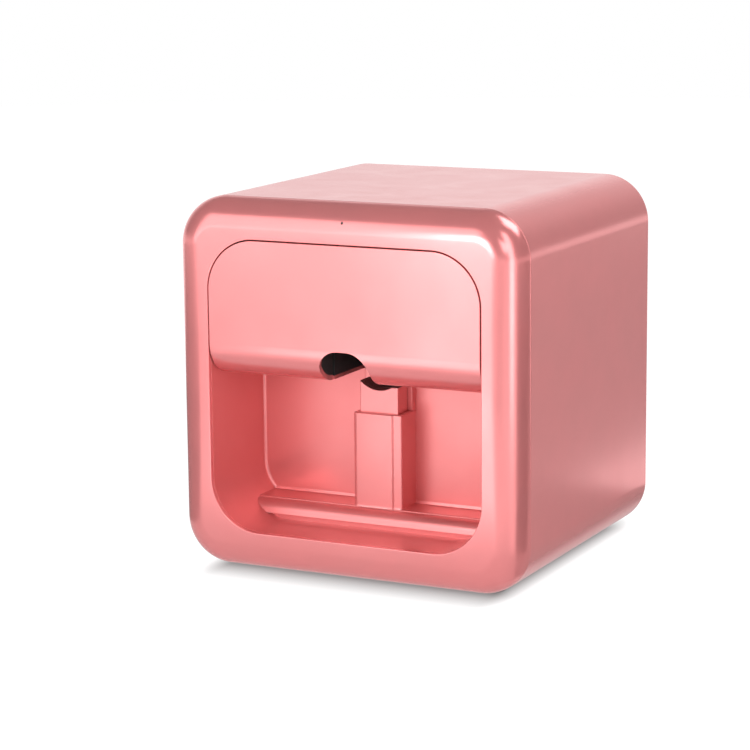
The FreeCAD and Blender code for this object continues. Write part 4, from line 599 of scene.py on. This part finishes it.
CAD_FINISHES = {
    casing_paint: ["outer_sleeve", "front_bezel"],
    cover_paint: ["front_door"],
    bay_paint_shaded_copy: ["hand_bay_liner"],
    rest_paint_shade_and_rim_highlight: ["finger_post", "finger_guide_rail", "finger_rest"],
    rear_paint: ["rear_panel"],
    button_paint: ["power_button"],
    filled_black: ["door_hinge_arms", "hinge_brackets", "rod_holders", "gantry_block_left",
                   "gantry_block_right", "button_housing"],
    dull_black: ["print_chamber", "door_notch_hood"],
    case_black: ["power_switch", "power_inlet", "fan_frame", "fan_rotor", "camera_module", "ink_cartridge"],
    carriage_black: ["carriage_frame"],
    cap_grey: ["capping_station"],
    latch_blue: ["cartridge_latch"],
    parts_black: ["board_components"],
    ground_steel: ["depth_rods"],
    ground_cross: ["cross_rods", "hinge_pins", "latch_pin"],
    spring_wire: ["finger_rest_spring"],
    turned_steel: ["spring_guide_pin", "idler_pin"],
    screw_zinc: ["case_screws", "door_arm_screws"],
    motor_can: ["depth_motor", "cross_motor"],
    rolled_thread: ["lead_screw"],
    sintered: ["gantry_bushes", "carriage_bushes"],
    turned_brass: ["lead_nut"],
    turned_aluminium: ["drive_pulley", "idler_pulley"],
    anodised: ["heat_sink"],
    nickel: ["door_magnets"],
    plated_shell: ["data_port"],
    zinc_sheet: ["base_plate", "side_frame_left", "side_frame_right", "gantry_beam"],
    strike_sheet: ["door_strikes"],
    foot_rubber: ["rubber_feet"],
    belt_rubber: ["drive_belt"],
    seal_rubber: ["cap_seal"],
    main_mask: ["main_board"],
    light_mask: ["light_board"],
    light_guide: ["status_light"],
    emitter_resin: ["light_emitters"],
    lens_glass: ["camera_lens"],
}
for material, names in CAD_FINISHES.items():
    for name in names:
        slots = nodes[name].data.materials
        slots.clear()
        slots.append(material)


# ---------------------------------------------------------------------------------------------
# Casing: one soft cube, parted at the seam into bezel and sleeve
# ---------------------------------------------------------------------------------------------

OPENING_RADIUS, BASE_SCREW_X, BASE_SCREW_ROWS = 3.4, 60, (-50, 60)
PINHOLE_PLAY, PINHOLE_STRIP, PINHOLE_DROP = 0.02, 20, 7


def casing_form(shape):
    """The closed cube with its four long rounds and its rolled front."""
    block(shape, (-SIDE, SIDE), (FRONT, REAR), (BOTTOM, TOP))
    soften(shape, lengthwise(shape.edges), CORNER, 28)
    soften(shape, edges_where(shape, lambda co: near(co.y, FRONT)), NOSE, 18)


def outer_rim(shape, depth):
    """The outer edge of a casing shell where it ends at one depth."""
    return edges_where(shape, lambda co: near(co.y, depth) and outside_by(co, CASING) > -WALL / 2)


def bezel_shell():
    shape = bmesh.new()
    casing_form(shape)
    crop(shape, (0, SEAM, 0), (0, 1, 0))
    drop_faces(shape, lambda face: len(face.verts) > 20, "FACES_ONLY")
    outer = edges_where(shape, lambda co: near(co.y, FRONT))
    mouth = rounded_loop(shape, MOUTH, FRONT, 28)
    bmesh.ops.bridge_loops(shape, edges=outer + mouth)
    nose_top = [face for face in shape.faces if abs(face.calc_center_median().x) < PINHOLE_STRIP
                and face.calc_center_median().z > LIGHT_Z - PINHOLE_DROP]
    carve(shape, side_planes(LIGHT_RADIUS * 3, LIGHT_X)
          + arc_planes((LIGHT_X, LIGHT_Z), LIGHT_RADIUS + PINHOLE_PLAY, 0, 360, 12), nose_top)
    bmesh.ops.recalc_face_normals(shape, faces=shape.faces)
    bmesh.ops.solidify(shape, geom=shape.faces[:], thickness=WALL)
    soften(shape, edges_where(shape, lambda co: near(co.y, FRONT) and on_outline(co, MOUTH)), SHELL_LIP, 3)
    soften(shape, outer_rim(shape, SEAM), SHELL_LIP, 3)
    piece("bezel_shell", shape, "casing", ["front_bezel"], casing_paint)


def screw_opening(shape, x, y):
    """A round opening for a screw in the casing's base, cut square first so that the cuts stay short."""
    degrees = [0, 90, 180, 270] + [angle for angle in range(0, 360, 15) if angle % 90]
    walls = [Vector((math.cos(math.radians(angle)), math.sin(math.radians(angle)), 0)) for angle in degrees]
    carve(shape, [(Vector((x, y, BOTTOM)) + wall * OPENING_RADIUS, wall) for wall in walls],
          faces_at(shape, "z", BOTTOM))


def sleeve_shell():
    shape = bmesh.new()
    casing_form(shape)
    crop(shape, (0, SEAM + SEAM_GAP, 0), (0, -1, 0))
    for x in (-BASE_SCREW_X, BASE_SCREW_X):
        for y in BASE_SCREW_ROWS:
            screw_opening(shape, x, y)
    drop_faces(shape, lambda face: near(face.calc_center_median().y, REAR))
    bmesh.ops.recalc_face_normals(shape, faces=shape.faces)
    bmesh.ops.solidify(shape, geom=shape.faces[:], thickness=WALL)
    soften(shape, edges_where(shape, lambda co: near(co.y, REAR) and on_outline(co, CASING)), TAIL, 5)
    soften(shape, outer_rim(shape, SEAM + SEAM_GAP), 0.4, 3)
    piece("sleeve_shell", shape, "casing", ["outer_sleeve"], casing_paint)


# ---------------------------------------------------------------------------------------------
# Cover: a front plate that turns under, with cheeks and a fingertip notch
# ---------------------------------------------------------------------------------------------

def cover_shell():
    shape = bmesh.new()
    block(shape, (-DOOR_HALF, DOOR_HALF), (FRONT, DOOR_BACK), (DOOR_LOW, DOOR_HIGH))
    soften(shape, lengthwise(edges_where(shape, lambda co: near(co.z, DOOR_HIGH))), DOOR_CORNER, 26)
    soften(shape, edges_where(shape, lambda co: near(co.z, DOOR_LOW) and near(co.y, FRONT)),
           DOOR_CURL - TINY, 22)
    plate_back = FRONT + DOOR_WALL
    split(shape, shape.faces[:], (0, plate_back, 0), (0, 1, 0))
    split(shape, shape.faces[:], (0, 0, CHEEK_TOP), (0, 0, 1))
    drop_faces(shape, lambda face: near(face.calc_center_median().y, DOOR_BACK) and face.normal.y > 0.9)
    drop_faces(shape, lambda face: face.calc_center_median().z > CHEEK_TOP
               and face.calc_center_median().y > plate_back)
    corners = [arc_planes((sign * (NOTCH_HALF - NOTCH_CORNER), NOTCH_TOP - NOTCH_CORNER), NOTCH_CORNER,
                          90 - sign * 90, 90, 9) for sign in (-1, 1)]
    carve(shape, [((0, 0, NOTCH_TOP), (0, 0, 1))] + side_planes(NOTCH_HALF) + corners[0] + corners[1])
    bmesh.ops.recalc_face_normals(shape, faces=shape.faces)
    bmesh.ops.solidify(shape, geom=shape.faces[:], thickness=DOOR_WALL)
    far_below = DOOR_LOW - 60
    outline = (DOOR_HALF, far_below, DOOR_HIGH, DOOR_CORNER)

    def corner_edge(edge):
        return len(edge.link_faces) == 2 and edge.calc_face_angle(0) > math.radians(50)

    def outer_edge(edge):
        """Where the front plate or the curl meets the rim and the cheeks."""
        ends = [vert.co for vert in edge.verts]
        return (corner_edge(edge) and all(on_outline(co, outline) and co.y < DOOR_BACK + TINY for co in ends)
                and not all(co.z > CHEEK_TOP and co.y > plate_back - 1 for co in ends)
                and not all(near(co.y, DOOR_BACK) for co in ends)
                and not all(near(co.z, CHEEK_TOP) for co in ends))

    def notch_edge(edge):
        return corner_edge(edge) and all(
            abs(vert.co.x) < NOTCH_HALF + TINY and vert.co.z < NOTCH_TOP + TINY for vert in edge.verts)

    soften(shape, [edge for edge in shape.edges if outer_edge(edge)], DOOR_EDGE, 5)
    soften(shape, [edge for edge in shape.edges if notch_edge(edge)], 0.45, 3)
    piece("cover_shell", shape, "door", ["front_door"], cover_paint)


# ---------------------------------------------------------------------------------------------
# Hand bay: a tub that follows the opening, with a ledge and a rolled front edge
# ---------------------------------------------------------------------------------------------

COVE = (0.5, 1.5)
MAGNET_SEAT, MAGNET_SEAT_HALF, MAGNET_SEAT_TOP = 70, 6, 121
TAB_END, TAB_DEPTH, TAB_HEIGHT = 91, (7.5, 9.5), (42, 103)


def bay_ledge():
    """The ledge, the groove and the roll, drawn from the side and trimmed to the tub's round corners."""
    shape = bmesh.new()
    buried = LINER_WALL / 2
    low, back = MOUTH_LOW - buried, BAY_BACK + buried
    profile = [(back, low), (back, LEDGE_TOP + COVE[1]), (BAY_BACK, LEDGE_TOP + COVE[1]),
               (BAY_BACK - COVE[0], LEDGE_TOP), (LEDGE_FRONT, LEDGE_TOP), (LEDGE_FRONT, GROOVE_FLOOR),
               (ROLL_BACK, GROOVE_FLOOR), (ROLL_BACK, ROLL_TOP), ROLL_CREST, (ROLL_FRONT, ROLL_LOW),
               (ROLL_WALL, ROLL_LOW), (ROLL_WALL, low)]
    start = shape.faces.new([shape.verts.new((-MOUTH_HALF, y, z)) for y, z in profile])
    far = bmesh.ops.extrude_face_region(shape, geom=[start])["geom"]
    drag(shape, far, (MOUTH_HALF * 2, 0, 0))
    soften(shape, edges_where(shape, lambda co: near(co.y, ROLL_CREST[0]) and near(co.z, ROLL_CREST[1])),
           ROLL_RADIUS, 12)
    soften(shape, edges_where(shape, lambda co: near(co.y, ROLL_BACK) and near(co.z, ROLL_TOP)), 0.3, 3)
    soften(shape, edges_where(shape, lambda co: near(co.y, LEDGE_FRONT) and near(co.z, LEDGE_TOP)), 0.5, 3)
    centre = (MOUTH_HALF - MOUTH_CORNER, MOUTH_LOW + MOUTH_CORNER)
    for sign in (-1, 1):
        for point, normal in arc_planes(centre, MOUTH_CORNER + buried, -90, -30, 7):
            crop(shape, (point.x * sign, point.y, point.z), (normal.x * sign, 0, normal.z), close=True)
    mesh = bpy.data.meshes.new("bay_ledge")
    bmesh.ops.recalc_face_normals(shape, faces=shape.faces)
    shape.to_mesh(mesh)
    shape.free()
    return mesh


def bay_tub():
    shape = bmesh.new()
    block(shape, (-MOUTH_HALF, MOUTH_HALF), (BAY_FRONT, BAY_BACK), (MOUTH_LOW, CEILING))
    soften(shape, lengthwise(edges_where(shape, lambda co: near(co.z, MOUTH_LOW))), MOUTH_CORNER, 28)
    soften(shape, [edge for edge in edges_where(shape, lambda co: near(co.y, BAY_BACK))
                   if not all(near(vert.co.z, CEILING) for vert in edge.verts)], LINER_WALL, 5)
    drop_faces(shape, lambda face: near(face.calc_center_median().y, BAY_FRONT))
    carve(shape, [((0, DOOR_ZONE_BACK, 0), (0, 1, 0))], faces_at(shape, "z", CEILING))
    carve(shape, side_planes(SLOT_HALF), faces_at(shape, "z", CEILING))
    carve(shape, [((0, 0, WINDOW_LOW), (0, 0, -1))] + side_planes(WINDOW_HALF),
          faces_at(shape, "y", BAY_BACK))
    rims = [edge for edge in shape.edges if edge.is_boundary and all(
        near(vert.co.z, CEILING) and near(abs(vert.co.x), MOUTH_HALF) for vert in edge.verts)]
    raised = bmesh.ops.extrude_edge_only(shape, edges=rims)["geom"]
    drag(shape, raised, (0, 0, CHEEK_TOP - CEILING))
    bmesh.ops.remove_doubles(shape, verts=shape.verts, dist=TINY / 5)
    bmesh.ops.recalc_face_normals(shape, faces=shape.faces)
    if max(shape.faces, key=lambda face: face.calc_area()).normal.y > 0:
        bmesh.ops.reverse_faces(shape, faces=shape.faces)
    bmesh.ops.solidify(shape, geom=shape.faces[:], thickness=LINER_WALL)
    soften(shape, [edge for edge in edges_where(shape, lambda co: near(co.y, BAY_FRONT))
                   if all(on_outline(vert.co, MOUTH) for vert in edge.verts)], 0.4, 3)
    shape.from_mesh(bay_ledge())
    for sign in (-1, 1):
        seat = sign * MAGNET_SEAT
        block(shape, (seat - MAGNET_SEAT_HALF, seat + MAGNET_SEAT_HALF), (DOOR_ZONE_BACK + 1, DOOR_BACK + 8),
              (CEILING + 1, MAGNET_SEAT_TOP))
        across = sorted((sign * (MOUTH_HALF + 1), sign * TAB_END))
        block(shape, across, [FRONT + depth for depth in TAB_DEPTH], TAB_HEIGHT)
    piece("bay_tub", shape, "casing", ["hand_bay_liner"], bay_paint_shaded_copy)


# ---------------------------------------------------------------------------------------------
# Finger rest: the stepped post, the sprung slide in its pocket, and the guide behind it
# ---------------------------------------------------------------------------------------------

SLANT = ((-POST_HALF, -49.6), (-11.7, -51))
STEP = ((8.6, -51), (9.6, -50.1), (POST_HALF, -50.1))
FOOT = (0.4, 1.2)
POCKET_HALF, POCKET_FRONT, POCKET_BACK, POCKET_FLOOR = 11.75, -48.7, -36.6, 46
GUIDE_THICKNESS, GUIDE_WINDOW_HALF, GUIDE_WINDOW_LOW = 4.2, 10.5, 94


def post_body():
    shape = bmesh.new()
    plan = [(-POST_HALF, BAY_BACK), *SLANT, *STEP, (POST_HALF, BAY_BACK)]
    base = shape.faces.new([shape.verts.new((x, y, LEDGE_TOP)) for x, y in plan])
    far = bmesh.ops.extrude_face_region(shape, geom=[base])["geom"]
    drag(shape, far, (0, 0, POST_TOP - LEDGE_TOP))
    bmesh.ops.recalc_face_normals(shape, faces=shape.faces)
    soften(shape, edges_where(shape, lambda co: near(co.y, STEP[2][1]) and near(co.x, POST_HALF)), 0.9, 4)
    soften(shape, [edge for edge in edges_where(shape, lambda co: near(co.z, POST_TOP))
                   if not all(near(vert.co.y, BAY_BACK) for vert in edge.verts)], POST_CROWN, 5)
    flare, rise = FOOT
    split(shape, shape.faces[:], (0, 0, LEDGE_TOP + rise), (0, 0, 1))
    for vert in shape.verts:
        if near(vert.co.z, LEDGE_TOP) and vert.co.y < STEP[2][1] + TINY:
            vert.co.y -= flare
    pocket = side_planes(POCKET_HALF) + [((0, POCKET_FRONT, 0), (0, -1, 0)), ((0, POCKET_BACK, 0), (0, 1, 0))]
    top = within(shape, [face for face in faces_at(shape, "z", POST_TOP) if face.normal.z > 0.99], pocket)
    sunk = bmesh.ops.extrude_face_region(shape, geom=top)["geom"]
    drag(shape, sunk, (0, 0, POCKET_FLOOR - POST_TOP))
    bmesh.ops.delete(shape, geom=[part for part in top if part.is_valid], context="FACES_ONLY")
    piece("post_body", shape, "casing", ["finger_post"], rest_paint_shade_and_rim_highlight)


def plate_from(shape, across, high, deep, regions):
    """A flat plate in the front view with regions cut out of it, given its thickness."""
    block(shape, across, deep, high)
    drop_faces(shape, lambda face: face.normal.y > -0.5)
    for region in regions:
        carve(shape, region)
    bmesh.ops.dissolve_faces(shape, faces=shape.faces[:], use_verts=False)
    front = shape.faces[:]
    far = bmesh.ops.extrude_face_region(shape, geom=front)["geom"]
    drag(shape, far, (0, deep[1] - deep[0], 0))
    bmesh.ops.recalc_face_normals(shape, faces=shape.faces)


SHORTEST_SIDE = 0.75


def rest_slide():
    shape = bmesh.new()
    middle = SCOOP_LOW + SCOOP_RADIUS
    shoulder = [((SHOULDER_PLACE - 1, 0, 0), (-1, 0, 0)), ((0, 0, SHOULDER_TOP), (0, 0, -1))]
    plate_from(shape, (-REST_HALF, REST_HALF), (REST_LOW, HORN_TOP), (REST_FACE, REST_BACK),
               [shoulder, arc_planes((0, middle), SCOOP_RADIUS, 220, 320, 24)])
    soften(shape, lengthwise(edges_where(shape, lambda co: 7 < co.x < 8 and co.z > 99)), 1.4, 4)
    bmesh.ops.remove_doubles(shape, verts=shape.verts, dist=SHORTEST_SIDE)
    soften(shape, [edge for edge in edges_where(shape, lambda co: near(co.y, REST_FACE))
                   if not all(near(vert.co.z, REST_LOW) for vert in edge.verts)], 0.9, 4)
    piece("rest_slide", shape, "finger_slide", ["finger_rest"], rest_paint_shade_and_rim_highlight)


def guide_plate():
    shape = bmesh.new()
    front = BAY_BACK - GUIDE_THICKNESS
    window = [((0, 0, GUIDE_WINDOW_LOW), (0, 0, -1))] + side_planes(GUIDE_WINDOW_HALF)
    plate_from(shape, (-POST_HALF, POST_HALF), (POST_TOP, CEILING), (front, BAY_BACK), [window])
    soften(shape, edges_where(shape, lambda co: near(co.y, front)), 0.6, 4)
    piece("guide_plate", shape, "casing", ["finger_guide_rail"], rest_paint_shade_and_rim_highlight)


bezel_shell()
sleeve_shell()
cover_shell()
bay_tub()
post_body()
rest_slide()
guide_plate()


# ---------------------------------------------------------------------------------------------
# Camera, lamps and the pale studio round the printer
# ---------------------------------------------------------------------------------------------

CAMERA_PLACE, CAMERA_LENS, CAMERA_SENSOR = (0.5974, -1.2468, 0.3628), 122.98, 36
CAMERA_TURN, CAMERA_RISE, CAMERA_ROLL = math.radians(26.575), math.radians(10.860), math.radians(-0.583)
BACKDROP_TURN = math.radians(206.6)
ROOM_GLOW = 0.48
ROOM_DARK = 0.18
CARD_LIFT = 0.0012
WHITE = (1, 1, 1, 1)

# Where the body stands on the floor, and the painted shadow round it
STAND_MIDDLE, STAND_HALF = (0, 0.004, 0), (0.077, 0.071, 0)
SHADOW_SQUEEZE, SHADOW_REACH, SHADOW_DEPTH = (2.6, 1, 0), 0.036, 0.12

# Each lamp's place, what it faces, its width and height, and its brightness
LAMPS = {
    "overhead_softbox": ((0.5, 0.45, 1.0), (0, 0, 0.1), 0.6, 0.6, 4.1),
    "left_front_softbox": ((-0.6, -1.05, 0.5), (0, 0, 0.1), 0.9, 1.0, 1.8),
    "right_front_softbox": ((0.75, -0.95, 0.6), (0, 0, 0.1), 0.4, 0.4, 3.2),
    "near_lamp": ((-0.02, -0.42, 0.22), (0.08, -0.09, 0.17), 0.14, 0.12, 6.8),
    "low_lamp": ((-0.085, -0.42, 0.1), (0, -0.09, 0.1), 0.06, 0.18, 1.0),
    "strip_lamp": ((0.46, -0.32, 0.3), (0, 0, 0.12), 0.15, 0.68, 2.9),
}

# Each card's brightness and its corners on the floor
FLOOR_CARDS = {
    "right_card": (0.04, [(0.18, -0.12), (1.6, -0.4), (1.6, 1.6), (1.2, 1.2), (0.18, -0.03)]),
    "side_card": (0.4, [(0.18, -0.03), (1.2, 1.2), (1.2, 1.6), (0.18, 1.6)]),
    "left_card": (0.22, [(-0.17, -0.16), (-0.17, 0.3), (-1.6, 0.3), (-0.95, -1.5)]),
    "front_card": (0.6, [(0.02, -0.56), (-0.14, -1.15), (0.6, -1.1), (0.27, -0.56)]),
    "bezel_card": (2.4, [(-0.105, -0.56), (-0.165, -0.56), (-0.385, -1.0), (-0.325, -1.0)]),
    "bay_card": (2.6, [(0.08, -0.26), (-0.155, -0.26), (-0.3, -0.55), (-0.02, -0.55)]),
    "base_card": (0.64, [(-0.17, -0.2), (0.18, -0.2), (0.18, -0.12), (0.1, -0.08), (0.1, 0.17),
                         (-0.17, 0.17)]),
    "side_base_card": (0.36, [(0.18, -0.12), (0.18, 0.17), (0.1, 0.17), (0.1, -0.08)]),
}


def camera():
    back = Vector((math.sin(CAMERA_TURN) * math.cos(CAMERA_RISE),
                   -math.cos(CAMERA_TURN) * math.cos(CAMERA_RISE), math.sin(CAMERA_RISE)))
    across = (-back).cross(Vector((0, 0, 1))).normalized()
    up = back.cross(across)
    right = across * math.cos(CAMERA_ROLL) + up * math.sin(CAMERA_ROLL)
    upright = up * math.cos(CAMERA_ROLL) - across * math.sin(CAMERA_ROLL)
    data = bpy.data.cameras.new("studio_camera")
    data.lens = CAMERA_LENS
    data.sensor_width = CAMERA_SENSOR
    made = bpy.data.objects.new("studio_camera", data)
    facing = Matrix((right, upright, back)).transposed()
    made.matrix_world = Matrix.Translation(CAMERA_PLACE) @ facing.to_4x4()
    bpy.context.scene.collection.objects.link(made)
    bpy.context.scene.camera = made


def lamp(name, place_at, aim, width, height, glow):
    """A flat lamp at one point, turned towards another, with a given surface brightness."""
    away = (Vector(place_at) - Vector(aim)).normalized()
    data = bpy.data.lights.new(name, "AREA")
    data.shape = "RECTANGLE"
    data.size = width
    data.size_y = height
    data.energy = glow * math.pi * width * height
    made = bpy.data.objects.new(name, data)
    made.matrix_world = Matrix.Translation(place_at) @ away.to_track_quat("Z", "Y").to_matrix().to_4x4()
    made.visible_camera = False
    bpy.context.scene.collection.objects.link(made)


def bare_material(name):
    """A material with an output and nothing else."""
    material = bpy.data.materials.new(name)
    material.use_nodes = True
    material.node_tree.nodes.clear()
    return material, material.node_tree, place(material.node_tree, "OutputMaterial").inputs["Surface"]


def floor_card(name, level, corners):
    """A grey card flat on the floor that only the glossy paint shows."""
    shape = bmesh.new()
    shape.faces.new([shape.verts.new((x, y, CARD_LIFT)) for x, y in corners])
    made = made_object(name, shape)
    material, tree, surface = bare_material(name + "_grey")
    tree.links.new(place(tree, "Emission", Color=WHITE, Strength=level).outputs[0], surface)
    made.data.materials.append(material)
    for kind in ("camera", "diffuse", "transmission", "shadow", "volume_scatter"):
        setattr(made, "visible_" + kind, False)


def seen_rays(tree):
    """One for the rays that show the surroundings, which are camera, glossy and clear ones."""
    path = place(tree, "LightPath").outputs
    return math_node(tree, "MAXIMUM", path["Is Camera Ray"],
                     math_node(tree, "MAXIMUM", path["Is Glossy Ray"], path["Is Transmission Ray"]))


def backdrop():
    """White to look at, darker where the paint mirrors the room above, and dim as a source of light."""
    world = bpy.data.worlds.new("studio")
    world.use_nodes = True
    tree = world.node_tree
    where = place(tree, "TexCoord").outputs["Generated"]
    middle = (math.sin(BACKDROP_TURN), -math.cos(BACKDROP_TURN), 0)
    side_on = vector_math(tree, "DOT_PRODUCT", where, middle, result="Value")
    rise = place(tree, "SeparateXYZ", Vector=where).outputs["Z"]
    sweep = times(tree, ranged(tree, side_on, 0.6, 0.92), ranged(tree, rise, 0.6, 0.35))
    white = math_node(tree, "MAXIMUM", sweep, ranged(tree, rise, 0.02, -0.02))
    path = place(tree, "LightPath").outputs
    clear = math_node(tree, "MAXIMUM", path["Is Camera Ray"], path["Is Transmission Ray"])
    mirrored = times(tree, path["Is Glossy Ray"], ranged(tree, white, 0, 1, ROOM_DARK, 1))
    room = times(tree, math_node(tree, "SUBTRACT", 1.0, seen_rays(tree)), ROOM_GLOW)
    set_inputs(tree, tree.nodes["Background"], Color=WHITE, Strength=math_node(
        tree, "ADD", math_node(tree, "MAXIMUM", clear, mirrored), room))
    bpy.context.scene.world = world


def mixed(tree, factor, first, second):
    """A blend of two shaders."""
    made = place(tree, "MixShader", i0=factor)
    tree.links.new(first.outputs[0], made.inputs[1])
    tree.links.new(second.outputs[0], made.inputs[2])
    return made


def floor_disc():
    """A round white floor with a painted soft shadow over a faint real one, clear from below so that the
    underside can be seen.
    """
    shape = bmesh.new()
    bmesh.ops.create_circle(shape, cap_ends=True, segments=96, radius=3)
    floor = made_object("studio_floor", shape)
    material, tree, surface = bare_material("pale_floor")
    where = place(tree, "TexCoord").outputs["Object"]
    offset = vector_math(tree, "ABSOLUTE", vector_math(tree, "SUBTRACT", where, STAND_MIDDLE))
    spread = vector_math(tree, "MULTIPLY", vector_math(tree, "SUBTRACT", offset, STAND_HALF), SHADOW_SQUEEZE)
    away = vector_math(tree, "LENGTH", vector_math(tree, "MAXIMUM", spread, (0, 0, 0)), result="Value")
    lit = place(tree, "BsdfDiffuse", Color=(0.9, 0.9, 0.9, 1))
    dim = place(tree, "BsdfDiffuse", Color=(0.12, 0.12, 0.12, 1))
    # Camera and glossy rays see the floor's glow fall off towards the body's footprint: a painted shadow.
    white = place(tree, "Emission", Color=WHITE,
                  Strength=ranged(tree, away, 0, SHADOW_REACH, SHADOW_DEPTH, 1))
    seen_floor_with_painted_shadow = place(tree, "AddShader")
    tree.links.new(dim.outputs[0], seen_floor_with_painted_shadow.inputs[0])
    tree.links.new(white.outputs[0], seen_floor_with_painted_shadow.inputs[1])
    one_sided = mixed(tree, place(tree, "NewGeometry").outputs["Backfacing"],
                      mixed(tree, seen_rays(tree), lit, seen_floor_with_painted_shadow), place(tree, "BsdfTransparent"))
    tree.links.new(one_sided.outputs[0], surface)
    floor.data.materials.append(material)


camera()
for name, lamp_facts in LAMPS.items():
    lamp(name, *lamp_facts)
for name, card_facts in FLOOR_CARDS.items():
    floor_card(name, *card_facts)
backdrop()
floor_disc()
bpy.context.scene.view_settings.view_transform = "Standard"
